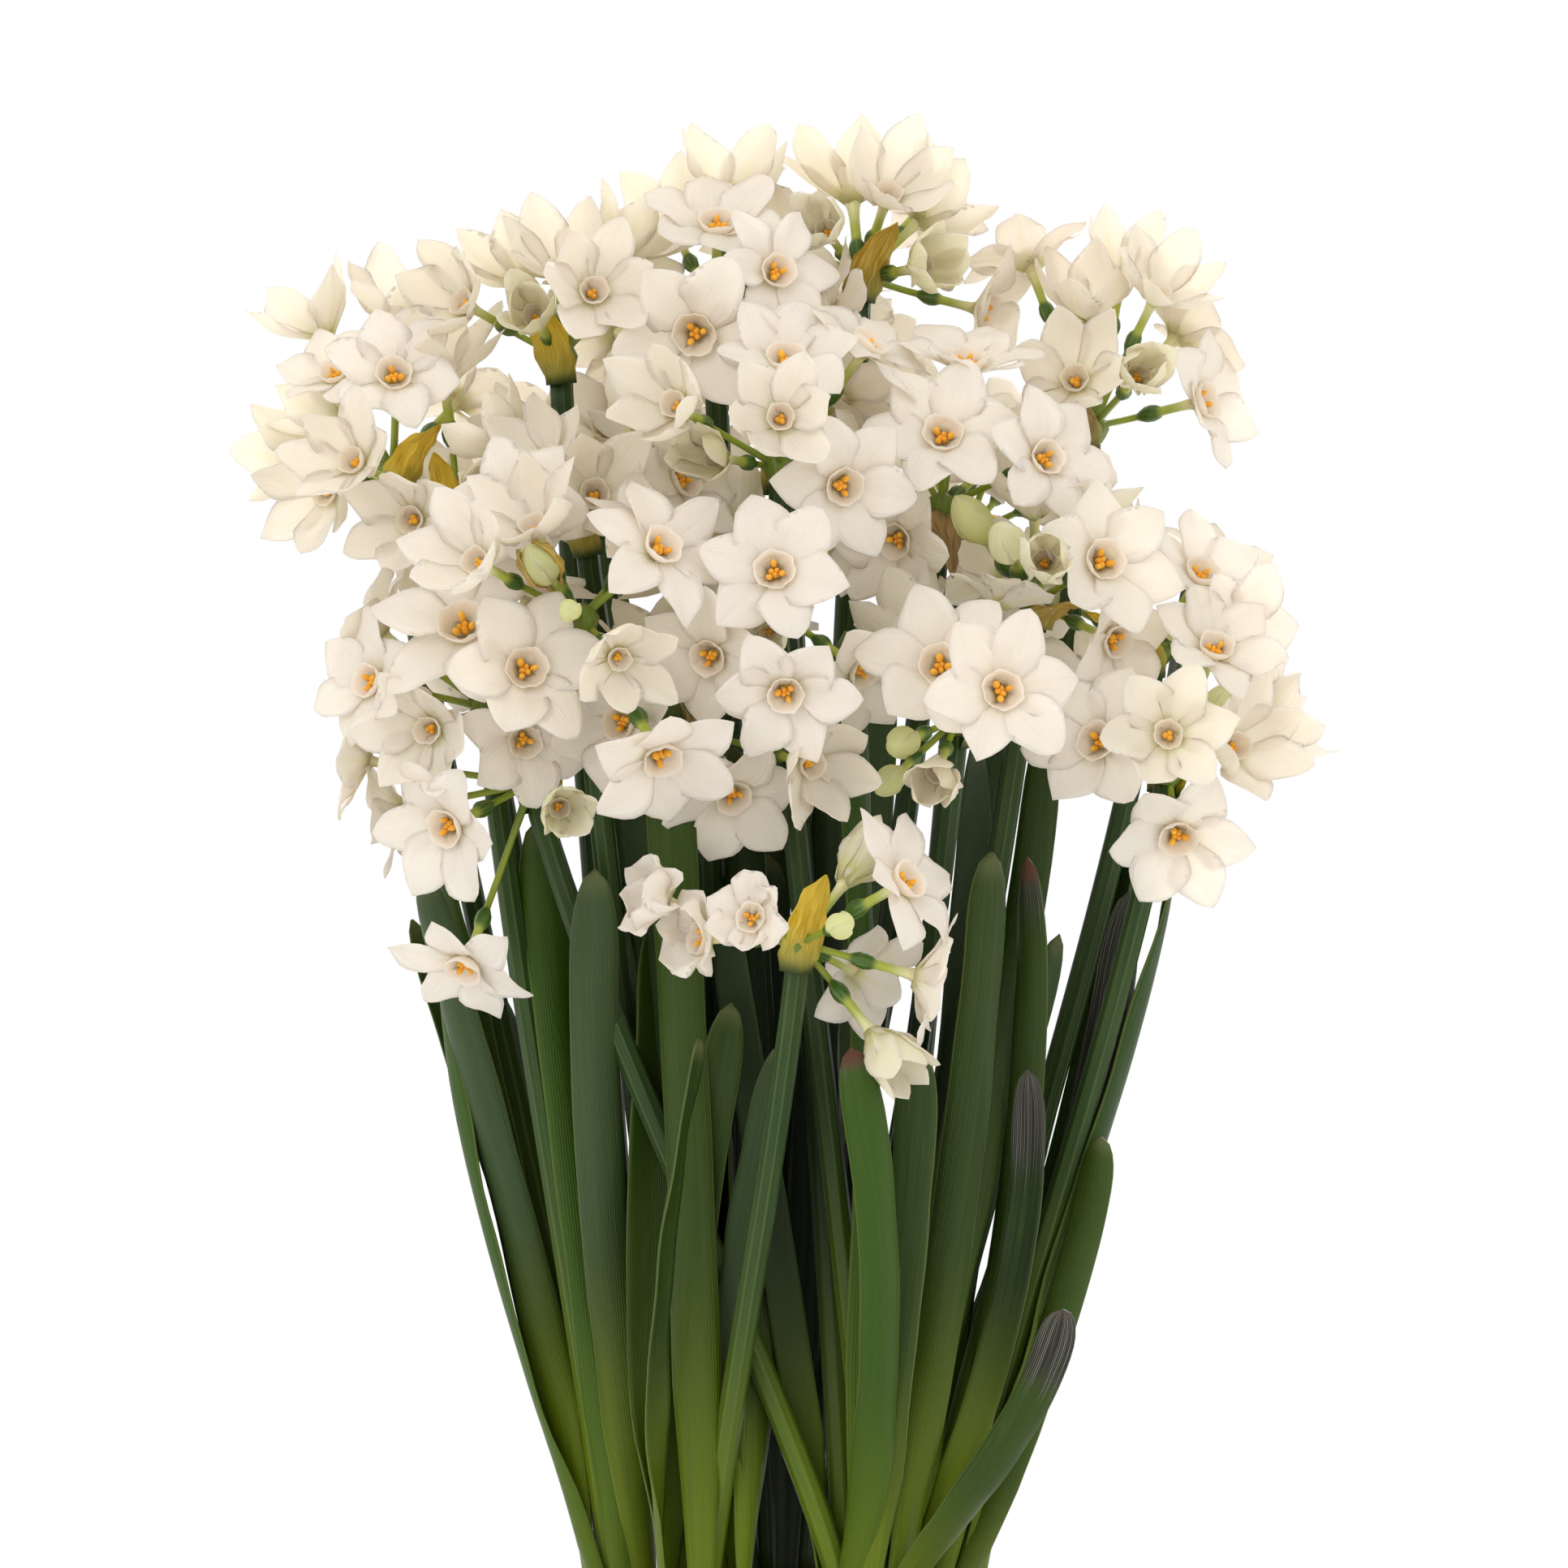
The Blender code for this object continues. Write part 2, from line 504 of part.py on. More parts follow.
def place_stalks():
    """Stalks that have a place to start from come first."""
    stalks = {}
    taken = {}
    for name, head in sorted(HEADS.items(), key=lambda entry: "foot" not in entry[1]):
        right, down, depth = head["node"]
        node = in_view(right, down, depth * MM)
        wanted = Vector((node.x / GATHER_ACROSS, node.y / GATHER_DEEP, 0))
        if "foot" in head:
            wanted = Vector((*head["foot"], 0)) * MM
        choices = []
        for bulb, centre in enumerate(BULBS):
            crowd = sum(1 for key in taken if key[0] == bulb)
            for seat, offset in enumerate(STALK_SEATS):
                if (bulb, seat) not in taken and crowd < MOST_STALKS:
                    foot = centre + offset
                    choices.append(((foot - wanted).length, bulb, seat, foot))
        choices.sort(key=lambda choice: choice[:3])
        found = None
        for _, bulb, seat, foot in choices:
            for bow in STALK_BOWS:
                start = Vector((foot.x, foot.y, SHOOT_TOP + SEAT_GAP))
                shape, way = stalk_shape(start, node, bow)
                core = core_shape(node, way)
                if has_room([], shape, STALK_ROOM) and has_room([], core, STALK_ROOM):
                    found = (bulb, seat, shape, core, way)
                    break
            if found:
                break
        bulb, seat, shape, core, way = found
        taken[(bulb, seat)] = name
        keep("scape_" + name, shape)
        keep("head_" + name, core)
        stalks[name] = {"node": node, "shape": shape, "core": core, "way": way}
    return stalks


def wanted_florets(name, node):
    """Each listed floret's place, kind and size."""
    rows = []
    for right, down, side, kind, size in HEADS[name]["florets"]:
        flat = in_view(right, down, node.y)
        sideways = (flat - node).length
        depth = math.sqrt(max(UMBEL_REACH ** 2 - sideways ** 2, LEAST_DEPTH ** 2))
        rows.append(((right, down), node.y + side * depth, kind, size))
    return rows


def fill_florets(node, stalk_way, ways):
    """Places, kinds and sizes for a head's free sides, kept apart from the ways its florets point."""
    golden = math.pi * (3 - math.sqrt(5))
    for index in range(FILL_WAYS):
        up = 1 - 2 * (index + 0.5) / FILL_WAYS
        out = math.sqrt(1 - up * up)
        way = Vector((math.cos(index * golden) * out, math.sin(index * golden) * out, up))
        if way.dot(stalk_way) > FILL_OFF_STALK and all(way.angle(other) > FILL_APART for other in ways):
            spot = node + way * UMBEL_REACH
            yield spot, spot.y, FILL_KINDS[index % len(FILL_KINDS)], 1.0


def floret_pose(node, place, depth, setback):
    """A floret's centre and the way it faces: away from its node, and a little towards the front."""
    middle = place.copy() if isinstance(place, Vector) else in_view(place[0], place[1], depth)
    middle.y = depth
    facing = (middle - node).normalized()
    if depth <= node.y:
        facing = (facing - Vector((0, TURN_TO_FRONT, 0))).normalized()
    return middle - facing * setback, facing


def floret_shape(node, centre, facing, kind, size, roll, hidden):
    if kind == "bud":
        return bud(node, centre, facing, size, roll)
    if kind in WIDE_OPEN and not hidden:
        return floret(node, centre, facing, kind, size, roll)
    return half_open_floret(node, centre, facing, kind, size, roll, not hidden)


def floret_choices(node, row, index, hidden=False):
    """Ways to place a floret, best first: moved along the line of sight, turned and made smaller."""
    place, depth, kind, size = row
    for shrink in (1, 0.92, 0.82):
        for step in DEPTH_STEPS:
            centre, facing = floret_pose(node, place, depth + step * MM, SETBACKS[kind] * size * shrink)
            if (centre - node).length < LEAST_REACH:
                continue
            for roll in (index * 0.4, index * 0.4 + 0.35, index * 0.4 + 0.7):
                yield centre, floret_shape(node, centre, facing, kind, size * shrink, roll, hidden)


def first_with_room(choices, owners):
    return next((choice for choice in choices if has_room(owners, choice[-1])), None)


def keep_floret(name, shape, stem_points):
    keep("head_" + name, shape)
    points, faces = shape
    keep("petals_" + name, (points, [face for face in faces if min(face) >= stem_points]))
    return shape


def place_florets(stalks):
    """Florets are kept clear of other heads, and their petals of their own head's petals if they can be."""
    sprigs = {name: [] for name in HEADS}
    ways = {name: [] for name in HEADS}
    for name, stalk in stalks.items():
        node = stalk["node"]
        stems, petals = "head_" + name, "petals_" + name
        for index, row in enumerate(wanted_florets(name, node)):
            found = first_with_room(floret_choices(node, row, index), [stems])
            if not found:
                found = first_with_room(floret_choices(node, row, index), [stems, petals])
            if found:
                sprigs[name].append(keep_floret(name, found[1], STEM_POINTS))
                ways[name].append((found[0] - node).normalized())
    print("listed florets", sum(len(shapes) for shapes in sprigs.values()))
    for name, stalk in stalks.items():
        node = stalk["node"]
        listed = len(sprigs[name])
        most = min(FILL_MOST, FULL_HEAD - listed) if listed else FULL_BACK_HEAD
        added = 0
        for index, row in enumerate(fill_florets(node, stalk["way"], ways[name])):
            if added >= most:
                break
            found = first_with_room(floret_choices(node, row, index, hidden=True), ["head_" + name])
            if found:
                sprigs[name].append(keep_floret(name, found[1], STEM_POINTS_HIDDEN))
                ways[name].append((found[0] - node).normalized())
                added += 1
    print("florets", sum(len(shapes) for shapes in sprigs.values()))
    return sprigs


# Leaves: those that show at the front, then some for each bulb at its sides and back
def leaf_shape(bulb, angle, tip, width, bow, look):
    centre = BULBS[bulb - 1]
    radial = Vector((math.cos(math.radians(angle)), math.sin(math.radians(angle)), 0))
    foot = centre + radial * LEAF_FOOT_CIRCLE + Vector((0, 0, SHOOT_TOP - LEAF_FOOT_SUNK))
    rise = tip.z - foot.z
    lean = Vector((tip.x - foot.x, tip.y - foot.y, 0))
    sideways = Vector((bow * MM, 0, 0))
    foot_pull = foot + Vector((0, 0, rise * LEAF_RISE)) + lean * LEAF_FOOT_LEAN + sideways
    tip_pull = tip - Vector((0, 0, rise * LEAF_RISE)) - lean * LEAF_TIP_LEAN + sideways
    points = [bezier(foot, foot_pull, tip_pull, tip, t) for t in LEAF_FRACTIONS]
    look_way = Vector((math.sin(math.radians(look)), -math.cos(math.radians(look)), 0))
    if look_way.dot(radial) < 0:
        look_way = -look_way
    ways, widths = [], []
    for fraction, share in zip(LEAF_FRACTIONS, LEAF_WIDTH_SHARES):
        turned = min(fraction / LEAF_TURNED_AT, 1)
        ways.append(radial * (1 - turned) + look_way * turned)
        grown = min(fraction / LEAF_GROWN_AT, 1)
        widths.append((LEAF_FOOT_WIDTH * (1 - grown) + width * grown) * share)
    return blade(points, ways, widths, LEAF_THICK)


def side_leaves():
    """Tips for the leaves that don't show at the front: spread round each bulb, away from the middle."""
    draw = random.Random(SEED)
    rows = []
    for bulb, centre in enumerate(BULBS, start=1):
        outward = math.degrees(math.atan2(centre.y, centre.x)) if centre.length else 90
        count = SIDE_LEAVES[bulb]
        place = "front" if centre.y < 0 else "back"
        for index in range(count):
            angle = outward - 75 + 150 * index / (count - 1)
            spread = centre * draw.uniform(*LEAF_SPREADS[place])
            turn = math.radians(angle)
            side = Vector((math.cos(turn), math.sin(turn), 0)) * draw.uniform(8, 26) * MM
            height = draw.uniform(*LEAF_HEIGHTS[place]) * MM
            tip = centre + spread + side + Vector((0, 0, EDGE_HEIGHT + height))
            width = draw.uniform(9.5, 12.5) * MM
            look = math.degrees(math.atan2(tip.y, tip.x)) + 90 + draw.uniform(-35, 35)
            rows.append((bulb, angle, tip, width, draw.uniform(-3, 3), look))
    return rows


def leaf_choices(bulb, angle, tip, width, bow, look):
    """Ways to place a leaf, best first: its tip moved along the line of sight, bowed, its foot moved."""
    for depth_step in (0, 4, -4, 8, -8, 12, -12, 16, -16, 22, -22):
        for bow_step in (0, 4, -4, 8, -8):
            for angle_step in (0, 12, -12, 25, -25, 40, -40):
                moved = tip + Vector((0, depth_step * MM, 0))
                yield leaf_shape(bulb, angle + angle_step, moved, width, bow + bow_step, look)


def place_leaves():
    leaves = {bulb: [] for bulb in range(1, len(BULBS) + 1)}
    rows = []
    for bulb, angle, (right, down, depth), width, bow, look in FRONT_LEAVES:
        rows.append((bulb, angle, in_view(right, down, depth * MM), width * MM, bow, look))
    rows += side_leaves()
    for row in rows:
        owner = "leaves_%d" % row[0]
        found = None
        for owners in ([], [owner]):
            choices = leaf_choices(*row)
            found = found or next((shape for shape in choices if has_room(owners, shape)), None)
        if found:
            leaves[row[0]].append(keep(owner, found))
    print("leaves", sum(len(shapes) for shapes in leaves.values()), "of", len(rows))
    return leaves


# Making objects
def material(name, colour, roughness):
    made = bpy.data.materials.new(name)
    made.use_nodes = True
    shader = made.node_tree.nodes["Principled BSDF"]
    shader.inputs["Base Color"].default_value = (*colour, 1)
    shader.inputs["Roughness"].default_value = roughness
    shader.inputs["Metallic"].default_value = 0
    return made


def add_object(name, mesh, collection):
    thing = bpy.data.objects.new(name, mesh)
    collection.objects.link(thing)
    return thing


def mesh_of(name, shape):
    mesh = bpy.data.meshes.new(name)
    points, faces = shape
    mesh.from_pydata(points, [], faces)
    mesh.validate()
    return mesh


def applied(thing):
    """Replace an object's mesh by the one its modifiers give, and drop the modifiers."""
    depsgraph = bpy.context.evaluated_depsgraph_get()
    mesh = bpy.data.meshes.new_from_object(thing.evaluated_get(depsgraph))
    thing.modifiers.clear()
    thing.data = mesh


def keep_largest_body(mesh):
    """Drop loose scraps and the walls of sealed hollows that a union can leave."""
    shape = bmesh.new()
    shape.from_mesh(mesh)
    bmesh.ops.triangulate(shape, faces=shape.faces[:])
    left = set(shape.verts)
    bodies = []
    while left:
        body, reach = set(), [left.pop()]
        while reach:
            vert = reach.pop()
            body.add(vert)
            for edge in vert.link_edges:
                other = edge.other_vert(vert)
                if other in left:
                    left.remove(other)
                    reach.append(other)
        bodies.append(body)
    bodies.sort(key=len, reverse=True)
    for body in bodies[1:]:
        bmesh.ops.delete(shape, geom=list(body), context="VERTS")
    bmesh.ops.dissolve_degenerate(shape, dist=SLIVER, edges=shape.edges[:])
    bmesh.ops.triangulate(shape, faces=shape.faces[:])
    shape.to_mesh(mesh)
    shape.free()


def fused(name, base, pieces, collection):
    """One object from a base shape and its pieces, joined by a union with their collection."""
    thing = add_object(name, mesh_of(name, base), collection)
    extras = bpy.data.collections.new(name + "_pieces")
    bpy.context.scene.collection.children.link(extras)
    for index, piece in enumerate(pieces):
        label = "%s_piece_%02d" % (name, index)
        add_object(label, mesh_of(label, piece), extras)
    union = thing.modifiers.new("union", "BOOLEAN")
    union.operation = "UNION"
    union.operand_type = "COLLECTION"
    union.collection = extras
    union.solver = UNION_SOLVER
    applied(thing)
    for piece in list(extras.objects):
        bpy.data.objects.remove(piece, do_unlink=True)
    bpy.data.collections.remove(extras)
    keep_largest_body(thing.data)
    return thing


def turned(name, profile, sides, collection):
    """A shape turned about the upright axis from a profile of (radius, height) points."""
    mesh = bpy.data.meshes.new(name)
    edges = [(index, index + 1) for index in range(len(profile) - 1)]
    mesh.from_pydata([(radius, 0, height) for radius, height in profile], edges, [])
    thing = add_object(name, mesh, collection)
    screw = thing.modifiers.new("turn", "SCREW")
    screw.steps = sides
    screw.render_steps = sides
    screw.use_merge_vertices = True
    screw.merge_threshold = 0.00001
    screw.use_smooth_shade = True
    return thing


def pot_radius(height):
    """The pot's outer radius below its rim."""
    return POT_FOOT_RADIUS + (POT_TOP_RADIUS - POT_FOOT_RADIUS) * height / POT_HEIGHT


def make_pot(collection, finish):
    rim_foot = POT_HEIGHT - POT_RIM_HEIGHT
    rim_radius = POT_TOP_RADIUS + POT_RIM_PROUD
    bevel = 1.5 * MM
    profile = [
        (0, POT_BASE), (pot_radius(POT_BASE) - POT_WALL, POT_BASE),
        (POT_TOP_RADIUS - POT_WALL, POT_HEIGHT - bevel), (POT_TOP_RADIUS - POT_WALL + bevel, POT_HEIGHT),
        (rim_radius - bevel, POT_HEIGHT), (rim_radius, POT_HEIGHT - bevel),
        (rim_radius - bevel, rim_foot), (pot_radius(rim_foot), rim_foot - bevel),
        (pot_radius(bevel), bevel), (pot_radius(0) - bevel, 0), (0, 0)]
    pot = turned("pot", profile, POT_SIDES, collection)
    pot.data.materials.append(finish)
    return pot


def bulb_outline(spare):
    """The bulb's outer side from its neck down to its root plate, with some room to spare."""
    return [(NECK_RADIUS + spare, NECK_TOP), (BULB_RADIUS * 0.86 + spare, BULB_FOOT + BULB_HEIGHT * 0.7),
            (BULB_RADIUS + spare, BULB_FOOT + BULB_HEIGHT * 0.4),
            (BULB_RADIUS * 0.55 + spare, BULB_FOOT - spare), (0, BULB_FOOT - spare)]


def make_bulbs(collection, finish):
    profile = [(0, NECK_FLOOR), (NECK_BORE, NECK_FLOOR), (NECK_BORE, NECK_TOP)] + bulb_outline(0)
    for number, centre in enumerate(BULBS, start=1):
        bulb = turned("bulb_%d" % number, profile, BULB_SIDES, collection)
        bulb.location = centre
        bulb.data.materials.append(finish)


def make_soil(collection, cutters, finish):
    side = pot_radius(0) - POT_WALL - SEAT_GAP * 1.5
    slope = (POT_TOP_RADIUS - POT_FOOT_RADIUS) / POT_HEIGHT
    foot = POT_BASE + SEAT_GAP
    profile = [(0, SOIL_TOP), (side + slope * SOIL_TOP, SOIL_TOP), (side + slope * foot, foot), (0, foot)]
    soil = turned("soil", profile, POT_SIDES, collection)
    for number, centre in enumerate(BULBS, start=1):
        top = (BULB_RADIUS + SEAT_GAP, SOIL_TOP + 5 * MM)
        outline = [(0, top[1]), top] + bulb_outline(SEAT_GAP)[2:]
        cutter = turned("bulb_hollow_%d" % number, outline, BULB_SIDES, cutters)
        cutter.location = centre
        cutter.hide_render = True
        cutter.display_type = "WIRE"
    cut = soil.modifiers.new("hollows", "BOOLEAN")
    cut.operation = "DIFFERENCE"
    cut.operand_type = "COLLECTION"
    cut.collection = cutters
    cut.solver = "EXACT"
    soil.data.materials.append(finish)


def make_greens(collection, leaves, stalks, leaf_green, stalk_green):
    for bulb, shapes in leaves.items():
        centre = BULBS[bulb - 1]
        levels = [NECK_FLOOR + SEAT_GAP, SHOOT_TOP]
        axis = [centre + Vector((0, 0, level)) for level in levels]
        shoot = sweep(axis, [SHOOT_RADIUS] * 2, BULB_SIDES, Vector((1, 0, 0)))
        thing = fused("leaves_%d" % bulb, shoot, shapes, collection)
        thing.data.materials.append(leaf_green)
    for name, stalk in stalks.items():
        thing = add_object("scape_" + name, mesh_of("scape_" + name, stalk["shape"]), collection)
        thing.data.materials.append(stalk_green)


def spathe_shape(node, way, length):
    way = Vector(way).normalized()
    droop = Vector((0, 0, -SPATHE_DROOP))
    points = [node + (way + droop * t) * length * t for t in SPATHE_FRACTIONS]
    facing = way.cross(Vector((0, 0, 1)))
    return blade(points, [facing.cross(way)] * len(points), SPATHE_WIDTHS, SPATHE_THICK)


def make_heads(collection, sprigs, stalks, finish):
    for name, shapes in sprigs.items():
        node = stalks[name]["node"]
        pieces = list(shapes)
        for length in (1, 0.75, 0.5):
            spathe = spathe_shape(node, HEADS[name]["spathe"], SPATHE_LENGTH * length)
            if has_room(["head_" + name], spathe):
                pieces.append(keep("head_" + name, spathe))
                break
        thing = fused("head_" + name, stalks[name]["core"], pieces, collection)
        thing.data.materials.append(finish)


# Scene set-up
def clear_scene():
    for thing in list(bpy.data.objects):
        bpy.data.objects.remove(thing, do_unlink=True)


def main():
    clear_scene()
    plant = bpy.data.collections.new("potted_narcissus")
    cutters = bpy.data.collections.new("cutters")
    for collection in (plant, cutters):
        bpy.context.scene.collection.children.link(collection)
    stalks = place_stalks()
    sprigs = place_florets(stalks)
    leaves = place_leaves()
    leaf_green = material("leaf", (0.07, 0.15, 0.06), 0.45)
    stalk_green = material("stalk", (0.16, 0.26, 0.09), 0.5)
    petal_white = material("petal", (0.86, 0.84, 0.8), 0.55)
    tunic = material("tunic", (0.3, 0.17, 0.08), 0.6)
    earth = material("earth", (0.05, 0.035, 0.025), 0.95)
    glaze = material("glaze", (0.75, 0.72, 0.66), 0.35)
    make_pot(plant, glaze)
    make_bulbs(plant, tunic)
    make_soil(plant, cutters, earth)
    make_greens(plant, leaves, stalks, leaf_green, stalk_green)
    make_heads(plant, sprigs, stalks, petal_white)


main()
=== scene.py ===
import math
import random

import bpy
import numpy as np
from mathutils import Matrix, Vector
from mathutils.bvhtree import BVHTree


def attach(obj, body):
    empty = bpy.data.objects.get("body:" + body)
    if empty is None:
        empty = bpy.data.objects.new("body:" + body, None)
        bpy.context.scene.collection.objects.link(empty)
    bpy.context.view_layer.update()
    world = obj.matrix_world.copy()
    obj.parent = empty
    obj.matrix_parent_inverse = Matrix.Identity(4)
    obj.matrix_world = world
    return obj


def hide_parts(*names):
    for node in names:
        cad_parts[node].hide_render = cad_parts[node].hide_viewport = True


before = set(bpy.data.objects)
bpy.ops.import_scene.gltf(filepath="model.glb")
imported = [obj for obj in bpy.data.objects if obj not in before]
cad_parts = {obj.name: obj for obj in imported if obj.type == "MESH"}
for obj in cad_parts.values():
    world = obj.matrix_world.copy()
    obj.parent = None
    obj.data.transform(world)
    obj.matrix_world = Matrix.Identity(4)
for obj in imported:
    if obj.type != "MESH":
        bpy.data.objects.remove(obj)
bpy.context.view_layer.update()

mm = 0.001
stage = bpy.context.scene

# The front view: a square grid of steps, as the picture is seen from straight ahead
viewGrid = {"steps": 1932, "step": 0.21 * mm, "edgeHeight": 150 * mm, "distance": 2.0}

potSize = {"height": 130 * mm, "topRadius": 76 * mm, "footRadius": 54 * mm, "wall": 6 * mm,
           "base": 8 * mm, "rimHeight": 16 * mm, "rimProud": 3 * mm, "soilBelowRim": 14 * mm}
bulbSize = {"radius": 19.3 * mm, "ring": 40 * mm, "height": 52 * mm, "sunk": 26 * mm, "neckDepth": 7 * mm,
            "shootRadius": 12.1 * mm, "shootHeight": 9 * mm}
seatGap, leastRoom = 0.3 * mm, 0.35 * mm  # between pieces that stand on each other, and beside each other
leafSize = {"thick": 1.7 * mm, "footWidth": 5.6 * mm, "footSunk": 1.4 * mm, "footCircle": 10.2 * mm,
            "fractions": [0, 0.28, 0.62, 0.92, 1], "shares": [1, 1, 1, 0.72, 0],
            "rise": 0.33, "footLean": 0.2, "tipLean": 0.28, "turnedAt": 0.35, "grownAt": 0.25}
stalkSize = {"footRadius": 3.3 * mm, "topRadius": 2.9 * mm, "sides": 5, "fractions": [0, 0.3, 0.65, 1],
             "footRise": 0.3, "headRise": 0.32, "lean": 0.22}
floretSize = {"petalLength": 16.8 * mm, "petalHalfWidth": 5.9 * mm, "petalThick": 0.9 * mm,
              "notchAt": 0.26, "widestAt": 0.58, "widestTurn": math.radians(28.5), "pit": 0.3 * mm,
              "throat": 1.8 * mm, "coronaHeight": 2.6 * mm, "tubeLength": 13 * mm, "tubeRadius": 1.6 * mm,
              "ovaryRadius": 2.0 * mm, "pedicelRadius": 1.0 * mm, "budRadius": 3.9 * mm, "stemStart": 2 * mm,
              "corona": 0.92, "petalBack": 0.98}
headSize = {"reach": 34 * mm, "leastReach": 20 * mm, "leastDepth": 6 * mm, "core": 4.4 * mm, "foot": 0.9,
            "spathe": 30 * mm}

# How each kind of floret has opened: its petals' angle to the axis at the foot and at the tip, and length
kinds = {"star": (68, 94, 1.12), "open": (58, 78, 1.08), "cup": (56, 26, 1.26), "tight": (36, 10, 1.14)}
setbacks = {"star": 2 * mm, "open": 4 * mm, "cup": 10 * mm, "tight": 10 * mm, "bud": 3 * mm}
wideOpen = ["star", "open"]
pitch = math.pi / 3

